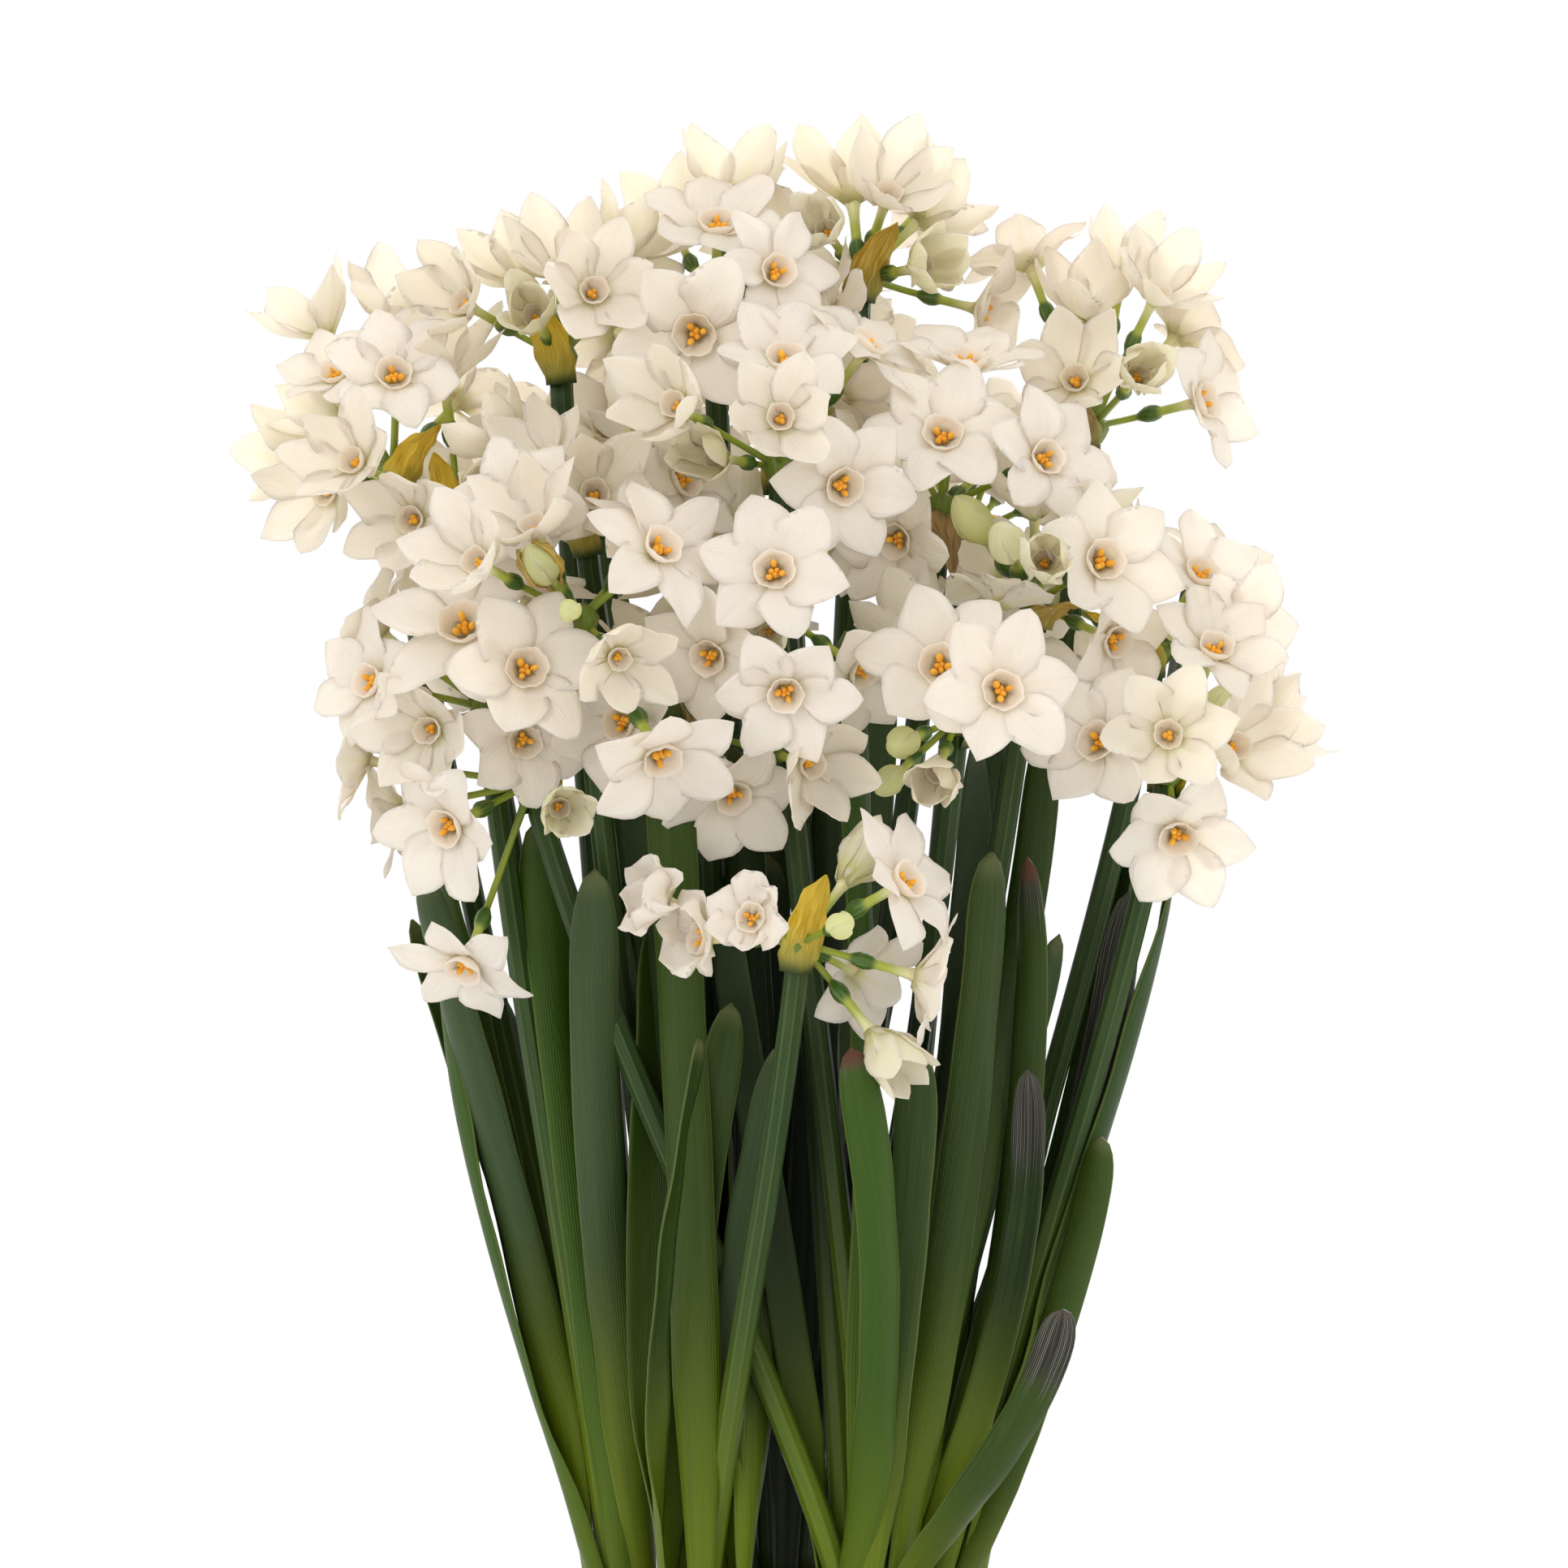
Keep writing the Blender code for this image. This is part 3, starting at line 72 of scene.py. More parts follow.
# Heads: where the stems meet (steps right, steps down, mm deep), the papery sheath's way, and the florets
# (steps right, steps down, side from -1 front to 1 back, kind, size)
heads = {
    "01": {"node": (484, 581, 6), "spathe": (0.45, -0.6, 0.7), "florets": [
        (491, 350, -0.6, "cup", 1.0), (378, 372, 0.3, "cup", 1.0), (409, 455, -1, "open", 0.8),
        (396, 488, -0.3, "cup", 1.0), (352, 560, 0.5, "cup", 1.0), (380, 612, -0.6, "cup", 0.95)]},
    "02": {"node": (690, 440, -6), "spathe": (-0.3, -0.5, 0.9), "florets": [
        (690, 300, -0.2, "cup", 1.1), (738, 345, -1, "cup", 1.05), (790, 275, 0.6, "cup", 1.0),
        (652, 378, -0.8, "tight", 1.0)]},
    "03": {"node": (880, 385, -10), "spathe": (0, 0.6, 0.8), "florets": [
        (855, 413, -1, "open", 1.2), (957, 335, -0.8, "star", 1.0), (884, 268, -0.6, "open", 1.05),
        (905, 198, 0.4, "cup", 1.1), (822, 262, 0.4, "cup", 1.0)]},
    "04": {"node": (1060, 340, 14), "spathe": (0.3, -0.6, 0.7), "florets": [
        (1046, 200, 0.1, "cup", 1.15), (1104, 212, 0.6, "cup", 1.05), (1168, 240, -0.3, "cup", 1.05),
        (1152, 326, -0.9, "tight", 1.1), (1010, 272, -0.8, "tight", 0.95), (1222, 385, -0.2, "open", 1.0)]},
    "05": {"node": (1345, 526, 10), "spathe": (-0.5, -0.4, 0.8), "florets": [
        (1320, 452, -0.9, "cup", 1.05), (1340, 345, -0.3, "cup", 1.05), (1262, 312, 0.2, "open", 1.0),
        (1390, 305, 0.7, "cup", 1.0), (1440, 332, 0.5, "cup", 1.0), (1462, 402, -0.6, "open", 1.15),
        (1410, 455, -1, "tight", 1.0), (1492, 492, -0.6, "open", 1.05)]},
    "06": {"node": (960, 575, -38), "spathe": (0.2, 0.5, 0.8), "florets": [
        (969, 435, -0.8, "open", 1.05), (962, 505, -1, "cup", 1.0), (1070, 425, -0.5, "star", 1.05),
        (1042, 600, -1, "open", 1.05), (866, 560, -0.9, "tight", 1.0)]},
    "07": {"node": (720, 650, -28), "spathe": (-0.4, -0.6, 0.6), "florets": [
        (735, 600, -1, "cup", 1.1), (664, 545, -0.6, "cup", 1.0), (800, 480, -0.6, "cup", 1.05),
        (600, 520, -0.2, "cup", 0.95)]},
    "08": {"node": (565, 640, -10), "spathe": (-0.2, -0.5, 0.9), "florets": [
        (542, 420, -0.7, "cup", 1.15), (592, 595, -1, "tight", 0.75), (492, 640, -0.8, "cup", 1.0)]},
    "09": {"node": (1160, 625, -22), "spathe": (0.1, -0.8, -0.5), "florets": [
        (1162, 531, -0.9, "open", 1.1), (1194, 436, -0.9, "open", 1.1), (1236, 560, -0.2, "cup", 1.0),
        (1100, 668, -0.3, "open", 1.0)]},
    "10": {"node": (1275, 742, -32), "spathe": (0.45, -0.5, 0.2), "florets": [
        (1364, 688, -1, "open", 1.15), (1289, 685, -1, "tight", 1.0), (1198, 640, -0.5, "bud", 1.2),
        (1240, 668, -0.8, "bud", 1.2), (1276, 590, -0.3, "cup", 1.0), (1335, 605, -0.1, "cup", 1.0),
        (1380, 792, -0.6, "open", 0.95)]},
    "11": {"node": (1425, 800, -4), "spathe": (-0.6, -0.5, 0.6), "florets": [
        (1484, 700, -0.4, "open", 1.0), (1528, 776, -0.7, "open", 1.0), (1452, 770, -1, "bud", 1.0),
        (1378, 838, -0.9, "bud", 0.9)]},
    "12": {"node": (1440, 948, -28), "spathe": (0.2, 0.6, 0.7), "florets": [
        (1349, 912, -1, "open", 1.1), (1440, 900, -1, "cup", 1.05), (1545, 912, -0.6, "cup", 1.05),
        (1596, 885, 0.4, "cup", 0.95), (1452, 1036, -0.6, "open", 1.05), (1500, 868, 0.2, "bud", 1.0)]},
    "13": {"node": (600, 872, -42), "spathe": (0.5, -0.5, 0.5), "florets": [
        (570, 770, -1, "star", 1.3), (650, 822, -1, "open", 1.15), (455, 770, 0.1, "open", 1.0),
        (448, 838, -0.4, "open", 0.95), (512, 905, -0.9, "cup", 1.0), (648, 915, -0.7, "open", 0.95)]},
    "14": {"node": (655, 965, -46), "spathe": (0.2, 0.6, 0.5), "florets": [
        (545, 1022, -0.8, "open", 1.05), (435, 935, 0.2, "open", 0.95), (480, 1000, -0.5, "open", 1.0),
        (572, 1192, -0.5, "star", 1.0), (694, 1000, -1, "tight", 0.85)]},
    "15": {"node": (955, 752, -52), "spathe": (0.2, 0.5, 0.7), "florets": [
        (954, 701, -1, "open", 1.1), (870, 812, -1, "open", 1.0), (1068, 830, -0.6, "open", 0.95),
        (968, 858, -1, "open", 1.0), (945, 784, -0.9, "tight", 0.7)]},
    "16": {"node": (872, 905, -44), "spathe": (-0.2, 0.6, 0.5), "florets": [
        (760, 888, -0.7, "open", 1.0), (905, 985, -0.6, "open", 1.0), (1020, 948, -0.7, "cup", 1.0)]},
    "17": {"node": (1180, 885, -46), "spathe": (0.5, 0.3, 0.7), "florets": [
        (1157, 817, -1, "open", 1.15), (1236, 850, -0.5, "open", 1.1), (1152, 962, -1, "tight", 0.95),
        (1112, 915, -0.8, "bud", 1.0), (1096, 962, -0.7, "bud", 0.9)]},
    "18": {"node": (716, 762, -68), "spathe": (-0.5, -0.3, 0.6), "florets": [
        (814, 674, -0.8, "star", 1.1), (771, 820, -0.9, "cup", 0.85),
        (818, 940, -0.3, "open", 1.1), (702, 752, -0.8, "bud", 0.7), (665, 695, -0.4, "bud", 1.15)]},
    "19": {"node": (985, 1162, -80), "foot": (-20, -35), "spathe": (0.25, -0.5, 1.0), "florets": [
        (806, 1106, -0.4, "open", 0.9), (856, 1156, -0.5, "open", 0.9), (924, 1130, -0.9, "open", 0.8),
        (1116, 1086, -0.5, "star", 1.1), (1068, 1050, -0.2, "tight", 1.0), (1036, 1140, -1, "bud", 0.85),
        (1148, 1208, -0.4, "open", 1.0), (1104, 1308, -0.3, "tight", 1.05), (1064, 1204, 0.6, "open", 0.9)]},
    "20": {"node": (742, 640, 38), "spathe": (-0.3, 0.8, 0.5), "florets": []},
    "21": {"node": (1190, 660, 40), "spathe": (0.3, 0.8, 0.5), "florets": []},
    "22": {"node": (965, 500, 42), "spathe": (0.0, 0.8, 0.6), "florets": []},
}
fill = {"most": 3, "fullHead": 8, "fullBackHead": 7, "ways": 17, "apart": math.radians(33),
        "kinds": ["open", "cup", "open", "star", "cup"]}
# What is tried, in turn, until a floret, a stalk or a leaf has room: mm of depth or bow, sizes, turns
floretSteps = {"depth": [0, -3, 3, -6, 6, -9, 9, -12, 12, -15, 15, -18, 18, -22, 22, -27, 27, -33, 33],
               "shrink": [1, 0.92, 0.82], "roll": [0, 0.35, 0.7], "rollEach": 0.4, "frontLean": 0.35}
stalkSteps = {"bow": [(0, 0), (0, -6), (0, 6), (-6, 0), (6, 0), (0, -12), (0, 12), (-10, 0), (10, 0)],
              "perBulb": 4, "room": 0.6 * mm, "narrow": (2.5, 1.7)}
leafSteps = {"depth": [0, 4, -4, 8, -8, 12, -12, 16, -16, 22, -22], "bow": [0, 4, -4, 8, -8],
             "angle": [0, 12, -12, 25, -25, 40, -40]}
stemPoints, stemPointsHidden = 6, 3  # points of a rough floret that belong to its stem

# Front leaves: bulb, angle of the foot, tip (steps right, steps down, mm deep), width, sideways bow,
# degrees to the right that the face looks
frontLeaves = [
    (5, 190, (522, 1076, -20), 11.5, 2, -20),
    (5, 150, (507, 1133, 6), 8.0, 4, 25),
    (5, 240, (662, 1010, -38), 13.0, 0, 12),
    (5, 300, (735, 1070, -46), 12.5, 2, -8),
    (6, 200, (862, 1280, -72), 7.0, -8, 50),
    (6, 130, (901, 1236, -58), 10.5, -4, 10),
    (6, 60, (966, 1286, -60), 9.0, -6, -15),
    (7, 235, (1048, 1291, -86), 10.7, 12, 5),
    (6, 225, (812, 1120, -40), 11.5, -5, 20),
    (7, 200, (890, 1100, -48), 9.0, 8, -10),
    (7, 300, (1309, 1613, -78), 10.0, 9, 15),
    (2, 300, (1356, 1400, -24), 9.5, 6, -18),
    (2, 330, (1391, 1098, -16), 11.0, 4, 20),
    (2, 20, (1406, 1000, 4), 9.0, 2, -12),
    (7, 340, (1295, 872, -20), 10.0, 4, 30),
    (2, 250, (1265, 1056, -36), 9.0, 3, -25),
    (7, 320, (1222, 1050, -58), 11.5, 4, 10),
    (2, 270, (1306, 1151, -28), 8.0, 2, 20),
    (7, 350, (1266, 1318, -50), 9.0, 5, -5),
    (7, 270, (1130, 1290, -66), 11.0, 3, -18),
    (1, 270, (1030, 900, -34), 10.5, 0, 5),
    (1, 220, (840, 1000, -30), 10.5, 0, -10),
]
sideLeafCounts = {1: 7, 2: 3, 3: 6, 4: 6, 5: 3, 6: 3, 7: 2}
leafHeights = {"front": (205, 250), "back": (150, 262)}
leafSpreads = {"front": (0.05, 0.5), "back": (0.75, 1.5)}
sideLeafLook = {"seed": 7, "fan": 75, "aside": (8, 26), "width": (9.5, 12.5), "turned": 35, "bow": 3}


# Places and rough shapes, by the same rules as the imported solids, so that each fine piece lies on its solid
def inView(right, down, depth):
    shrink = viewGrid["step"] * (1 + depth / viewGrid["distance"])
    middle = viewGrid["steps"] / 2
    centreHeight = viewGrid["edgeHeight"] + middle * viewGrid["step"]
    return Vector(((right - middle) * shrink, depth, centreHeight + (middle - down) * shrink))


def bezier(start, startPull, endPull, end, t):
    s = 1 - t
    return start * s ** 3 + startPull * (3 * s * s * t) + endPull * (3 * s * t * t) + end * t ** 3


def compass(degrees):  # a level direction
    turn = math.radians(degrees)
    return Vector((math.cos(turn), math.sin(turn), 0))


def tangents(points):
    count = len(points)
    return [(points[min(i + 1, count - 1)] - points[max(i - 1, 0)]).normalized() for i in range(count)]


def squareTo(direction, tangent):
    flat = direction - tangent * direction.dot(tangent)
    if flat.length < 1e-4:
        flat = tangent.orthogonal()
    return flat.normalized()


def sweep(points, radii, sides, across, openEnd=False, levelFoot=False):
    shapePoints, faces = [], []
    ways = tangents(points)
    if levelFoot:
        ways[0] = Vector((0, 0, 1))
    for point, radius, tangent in zip(points, radii, ways):
        axisA = squareTo(across, tangent)
        axisB = tangent.cross(axisA)
        for side in range(sides):
            turn = 2 * math.pi * side / sides
            shapePoints.append(point + (axisA * math.cos(turn) + axisB * math.sin(turn)) * radius)
    for ring in range(len(points) - 1):
        low, high = ring * sides, (ring + 1) * sides
        for side in range(sides):
            after = (side + 1) % sides
            faces.append((low + side, low + after, high + after))
            faces.append((low + side, high + after, high + side))
    faces.append(tuple(reversed(range(sides))))
    if not openEnd:
        last = (len(points) - 1) * sides
        faces.append(tuple(range(last, last + sides)))
    return shapePoints, faces


def blade(points, facesWay, widths, thick):
    shapePoints, faces = [], []
    for point, way, width, tangent in zip(points, facesWay, widths, tangents(points)):
        normal = squareTo(way, tangent)
        side = normal.cross(tangent)
        shapePoints += [point - side * width / 2, point + normal * thick / 2,
                        point + side * width / 2, point - normal * thick / 2]
    lastRing = len(points) - 2
    for ring in range(lastRing):
        low, high = ring * 4, ring * 4 + 4
        for edge, faceLow, faceHigh in ((0, 1, 1), (0, 3, 3), (2, 1, 1), (2, 3, 3)):
            first = (low + edge, low + faceLow, high + faceHigh)
            second = (low + edge, high + faceHigh, high + edge)
            flip = (edge == 0) != (faceLow == 1)
            for face in (first, second):
                faces.append(face if flip else tuple(reversed(face)))
    del shapePoints[(lastRing + 1) * 4:]
    tip = len(shapePoints)
    shapePoints.append(points[-1])
    ring = lastRing * 4
    for a, b in ((0, 1), (1, 2), (2, 3), (3, 0)):
        faces.append((ring + b, ring + a, tip))
    faces.append((0, 1, 2, 3))
    return shapePoints, faces


def floretAxes(facing, roll):
    across = squareTo(Matrix.Rotation(roll, 3, facing) @ facing.orthogonal(), facing)
    return across, facing.cross(across)


def petalPlaces(centre, across, upAxis, facing, kind, size):
    footLean, tipLean, lengthFactor = kinds[kind]
    lean, tipLean = math.radians(footLean), math.radians(tipLean)
    length = floretSize["petalLength"] * size * lengthFactor
    throat, notchAt, widestAt = floretSize["throat"], floretSize["notchAt"], floretSize["widestAt"]
    notch = (throat + length * notchAt * math.sin(lean), length * notchAt * math.cos(lean))
    wide = (throat + length * widestAt * math.sin(lean), length * widestAt * math.cos(lean))
    rest = length * (1 - widestAt)
    tip = (wide[0] + rest * math.sin(tipLean), wide[1] + rest * math.cos(tipLean))

    def place(turn, out, along):
        return centre + (across * math.cos(turn) + upAxis * math.sin(turn)) * out + facing * along

    return lean, notch, wide, tip, place


def jointFaces(tubeRing, notches, backs):
    faces = []
    for corner in range(3):
        here = tubeRing + corner
        beyond = tubeRing + (corner + 1) % 3
        before, own, after = (notches[(2 * corner + step) % 6] for step in (0, 1, 2))
        backBefore, backAfter = (backs[2 * corner + step] for step in (0, 1))
        faces += [(here, backBefore, before), (here, own, backBefore)]
        faces += [(here, backAfter, own), (here, after, backAfter), (here, beyond, after)]
    return faces


def stemStart(node, ovary):
    return node + (ovary - node).normalized() * floretSize["stemStart"]


def roughStem(node, centre, facing, across, upAxis, size, throughOvary):
    ovary = centre - facing * floretSize["tubeLength"]
    path = [stemStart(node, ovary), ovary, centre - facing * 2 * mm]
    radii = [floretSize["pedicelRadius"], floretSize["ovaryRadius"] * size, floretSize["tubeRadius"]]
    if not throughOvary:
        del path[1], radii[1]
    stemAcross = across * math.cos(pitch / 2) + upAxis * math.sin(pitch / 2)
    return sweep(path, radii, 3, stemAcross, openEnd=True)


def roughFloret(node, centre, facing, kind, size, roll):
    across, upAxis = floretAxes(facing, roll)
    points, faces = roughStem(node, centre, facing, across, upAxis, size, True)
    tubeRing = len(points) - 3
    lean, notch, wide, tip, place = petalPlaces(centre, across, upAxis, facing, kind, size)
    halfTurn = min(math.atan(floretSize["petalHalfWidth"] * size / wide[0]), floretSize["widestTurn"])
    thick = floretSize["petalThick"]
    back = (wide[0] * floretSize["petalBack"] + thick * math.cos(lean), wide[1] - thick * math.sin(lean))
    notches, petals = [], []
    for petal in range(6):
        turn = petal * pitch
        notches.append(len(points))
        petals.append([len(points) + step for step in (1, 2, 3, 4)])
        points += [place(turn - pitch / 2, *notch), place(turn - halfTurn, *wide), place(turn, *tip),
                   place(turn + halfTurn, *wide), place(turn, *back)]
    rims = []
    rim = (notch[0] * floretSize["corona"], notch[1] + floretSize["coronaHeight"] * size)
    for petal in range(6):
        rims.append(len(points))
        points.append(place((petal - 0.5) * pitch, *rim))
    pit = len(points)
    points.append(place(0, 0, floretSize["pit"]))
    for petal in range(6):
        after = (petal + 1) % 6
        left, top, right, rear = petals[petal]
        own, following = notches[petal], notches[after]
        faces += [(own, left, right), (own, right, following), (left, top, right)]
        faces += [(rear, left, own), (rear, top, left), (rear, right, top), (rear, following, right)]
        faces += [(own, following, rims[after]), (own, rims[after], rims[petal])]
        faces.append((rims[petal], rims[after], pit))
    faces += jointFaces(tubeRing, notches, [rear for _, _, _, rear in petals])
    return points, faces


def roughHalfOpen(node, centre, facing, kind, size, roll, withOvary):
    across, upAxis = floretAxes(facing, roll)
    points, faces = roughStem(node, centre, facing, across, upAxis, size, withOvary)
    tubeRing = len(points) - 3
    _, notch, wide, tip, place = petalPlaces(centre, across, upAxis, facing, kind, size)
    between = ((notch[0] + wide[0]) / 2, (notch[1] + wide[1]) / 2)
    notches, tips = [], []
    for petal in range(6):
        notches.append(len(points))
        tips.append(len(points) + 1)
        points += [place((petal - 0.5) * pitch, *between), place(petal * pitch, *tip)]
    pit = len(points)
    points.append(place(0, 0, floretSize["pit"]))
    for petal in range(6):
        faces += [(notches[petal], tips[petal], pit), (tips[petal], notches[(petal + 1) % 6], pit)]
    faces += jointFaces(tubeRing, notches, tips)
    return points, faces


def roughBud(node, centre, facing, size, roll):
    across, _ = floretAxes(facing, roll)
    ovary = centre - facing * 11 * mm * size
    path = [stemStart(node, ovary), ovary, centre + facing * 2 * mm * size, centre + facing * 10 * mm * size]
    radii = [floretSize["pedicelRadius"], floretSize["ovaryRadius"] * size * 0.9,
             floretSize["budRadius"] * size, 0.8 * mm * size]
    return sweep(path, radii, 4, across)


def roughShape(node, centre, facing, kind, size, roll, hidden):
    if kind == "bud":
        return roughBud(node, centre, facing, size, roll)
    if kind in wideOpen and not hidden:
        return roughFloret(node, centre, facing, kind, size, roll)
    return roughHalfOpen(node, centre, facing, kind, size, roll, not hidden)


placed = []  # owner, box and tree of each rough shape so far


def box(points):
    return [min(p[k] for p in points) for k in range(3)], [max(p[k] for p in points) for k in range(3)]


def thickened(points, faces, by):
    pushes = [Vector() for _ in points]
    for face in faces:
        a, b, c = (points[index] for index in face[:3])
        normal = (b - a).cross(c - a).normalized()
        for index in face:
            pushes[index] += normal
    return [point + push.normalized() * by for point, push in zip(points, pushes)]


def hasRoom(owners, shape, margin=leastRoom):
    points, faces = shape
    fat = thickened(points, faces, margin)
    low, high = box(fat + points)
    trees = []
    for other, otherLow, otherHigh, otherTree in placed:
        if other in owners or any(low[k] > otherHigh[k] or high[k] < otherLow[k] for k in range(3)):
            continue
        trees = trees or [BVHTree.FromPolygons(form, faces) for form in (fat, points)]
        if any(tree.overlap(otherTree) for tree in trees):
            return False
    return True


def keep(owner, shape):
    points, faces = shape
    placed.append((owner, *box(points), BVHTree.FromPolygons(points, faces)))


soilTop = potSize["height"] - potSize["soilBelowRim"]
bulbFoot = soilTop - bulbSize["sunk"]
neckTop = bulbFoot + bulbSize["height"]
neckFloor = neckTop - bulbSize["neckDepth"]
shootTop = neckFloor + seatGap + bulbSize["shootHeight"]
bulbs = [Vector((0, 0, 0))] + [compass(angle) * bulbSize["ring"] for angle in range(0, 360, 60)]
stalkSeats = [Vector((x, y, 0)) * mm for x, y in ((-4, -4), (4, -4), (-4, 4), (4, 4), (0, 0))]


def stalkCurve(foot, node, bow, way, fractions):
    rise = node.z - foot.z
    lean = Vector((node.x - foot.x, node.y - foot.y, 0))
    footPull = foot + Vector((0, 0, rise * stalkSize["footRise"])) + lean * stalkSize["lean"] + bow
    headPull = node - Vector((0, 0, rise * stalkSize["headRise"])) - lean * stalkSize["lean"] + bow
    points = [bezier(foot, footPull, headPull, node, t) for t in fractions]
    if way is None:
        way = (points[-1] - points[-2]).normalized()
    points[-1] = node - way * (headSize["core"] * headSize["foot"] + seatGap)
    return points, way


def stalkRadius(t):
    return stalkSize["footRadius"] + (stalkSize["topRadius"] - stalkSize["footRadius"]) * t


def stalkShape(foot, node, bow):
    fractions = stalkSize["fractions"]
    points, way = stalkCurve(foot, node, bow, None, fractions)
    radii = [stalkRadius(t) for t in fractions]
    return sweep(points, radii, stalkSize["sides"], Vector((1, 0, 0)), levelFoot=True), way


def coreShape(node, way):
    core = headSize["core"]
    points = [node - way * core * headSize["foot"], node - way * core * 0.1, node + way * core * 0.8]
    return sweep(points, [stalkSize["topRadius"], core, core * 0.55], stalkSize["sides"], Vector((1, 0, 0)))


def placeStalks():
    stalks, taken, room = {}, {}, stalkSteps["room"]
    for name, head in sorted(heads.items(), key=lambda entry: "foot" not in entry[1]):
        right, down, depth = head["node"]
        node = inView(right, down, depth * mm)
        wanted = Vector((node.x / stalkSteps["narrow"][0], node.y / stalkSteps["narrow"][1], 0))
        if "foot" in head:
            wanted = Vector((*head["foot"], 0)) * mm
        choices = []
        for bulb, centre in enumerate(bulbs):
            full = sum(1 for key in taken if key[0] == bulb) >= stalkSteps["perBulb"]
            for seat, offset in enumerate(stalkSeats):
                if not full and (bulb, seat) not in taken:
                    foot = centre + offset
                    choices.append(((foot - wanted).length, bulb, seat, foot))
        choices.sort(key=lambda choice: choice[:3])
        found = None
        for _, bulb, seat, foot in choices:
            for bow in stalkSteps["bow"]:
                start = Vector((foot.x, foot.y, shootTop + seatGap))
                bowed = Vector((bow[0], bow[1], 0)) * mm
                shape, way = stalkShape(start, node, bowed)
                core = coreShape(node, way)
                if hasRoom([], shape, room) and hasRoom([], core, room):
                    found = {"node": node, "foot": start, "bow": bowed, "way": way, "bulb": bulb}
                    break
            if found:
                break
        taken[(bulb, seat)] = name
        keep("scape_" + name, shape)
        keep("head_" + name, core)
        stalks[name] = found
    return stalks


def wantedFlorets(name, node):
    rows = []
    for right, down, side, kind, size in heads[name]["florets"]:
        flat = inView(right, down, node.y)
        sideways = (flat - node).length
        depth = math.sqrt(max(headSize["reach"] ** 2 - sideways ** 2, headSize["leastDepth"] ** 2))
        rows.append(((right, down), node.y + side * depth, kind, size))
    return rows


def fillFlorets(node, stalkWay, ways):
    golden = math.pi * (3 - math.sqrt(5))
    for index in range(fill["ways"]):
        up = 1 - 2 * (index + 0.5) / fill["ways"]
        out = math.sqrt(1 - up * up)
        way = Vector((math.cos(index * golden) * out, math.sin(index * golden) * out, up))
        if way.dot(stalkWay) > -0.4 and all(way.angle(other) > fill["apart"] for other in ways):
            spot = node + way * headSize["reach"]
            yield spot, spot.y, fill["kinds"][index % len(fill["kinds"])], 1.0


def floretPose(node, place, depth, setback):
    middle = place.copy() if isinstance(place, Vector) else inView(place[0], place[1], depth)
    middle.y = depth
    facing = (middle - node).normalized()
    if depth <= node.y:
        facing = (facing + Vector((0, -floretSteps["frontLean"], 0))).normalized()
    return middle - facing * setback, facing


def floretChoices(node, row, index, hidden=False):
    place, depth, kind, size = row
    for shrink in floretSteps["shrink"]:
        for step in floretSteps["depth"]:
            centre, facing = floretPose(node, place, depth + step * mm, setbacks[kind] * size * shrink)
            if (centre - node).length < headSize["leastReach"]:
                continue
            for roll in [index * floretSteps["rollEach"] + more for more in floretSteps["roll"]]:
                pose = {"node": node, "centre": centre, "facing": facing, "kind": kind,
                        "size": size * shrink, "roll": roll, "hidden": hidden, "row": index}
                yield pose, roughShape(node, centre, facing, kind, size * shrink, roll, hidden)


def firstWithRoom(choices, owners):
    return next((choice for choice in choices if hasRoom(owners, choice[-1])), None)


def placeFlorets(stalks):
    sprigs = {name: [] for name in heads}

    def take(name, found):
        pose, (points, faces) = found
        sprigs[name].append(pose)
        keep("head_" + name, (points, faces))
        least = stemPointsHidden if pose["hidden"] else stemPoints
        keep("petals_" + name, (points, [face for face in faces if min(face) >= least]))

    for name, stalk in stalks.items():
        stems, petals = "head_" + name, "petals_" + name
        for index, row in enumerate(wantedFlorets(name, stalk["node"])):
            found = None
            for owners in ([stems], [stems, petals]):
                found = found or firstWithRoom(floretChoices(stalk["node"], row, index), owners)
            if found:
                take(name, found)
    for name, stalk in stalks.items():
        node = stalk["node"]
        listed = len(sprigs[name])
        most = min(fill["most"], fill["fullHead"] - listed) if listed else fill["fullBackHead"]
        ways = [(pose["centre"] - node).normalized() for pose in sprigs[name]]
        added = 0
        for index, row in enumerate(fillFlorets(node, stalk["way"], ways)):
            if added >= most:
                break
            found = firstWithRoom(floretChoices(node, row, index, hidden=True), ["head_" + name])
            if found:
                take(name, found)
                ways.append((found[0]["centre"] - node).normalized())
                added += 1
    return sprigs


def leafPath(bulb, angle, tip, width, bow, look, fractions):
    centre = bulbs[bulb - 1]
    radial = compass(angle)
    foot = centre + radial * leafSize["footCircle"] + Vector((0, 0, shootTop - leafSize["footSunk"]))
    rise = tip.z - foot.z
    lean = Vector((tip.x - foot.x, tip.y - foot.y, 0))
    sideways = Vector((bow * mm, 0, 0))
    upright = Vector((0, 0, rise * leafSize["rise"]))
    footPull = foot + upright + lean * leafSize["footLean"] + sideways
    tipPull = tip - upright - lean * leafSize["tipLean"] + sideways
    points = [bezier(foot, footPull, tipPull, tip, t) for t in fractions]
    lookWay = Vector((math.sin(math.radians(look)), -math.cos(math.radians(look)), 0))
    if lookWay.dot(radial) < 0:
        lookWay = -lookWay
    ways = []
    for fraction in fractions:
        turned = min(fraction / leafSize["turnedAt"], 1)
        ways.append(radial * (1 - turned) + lookWay * turned)
    return points, ways


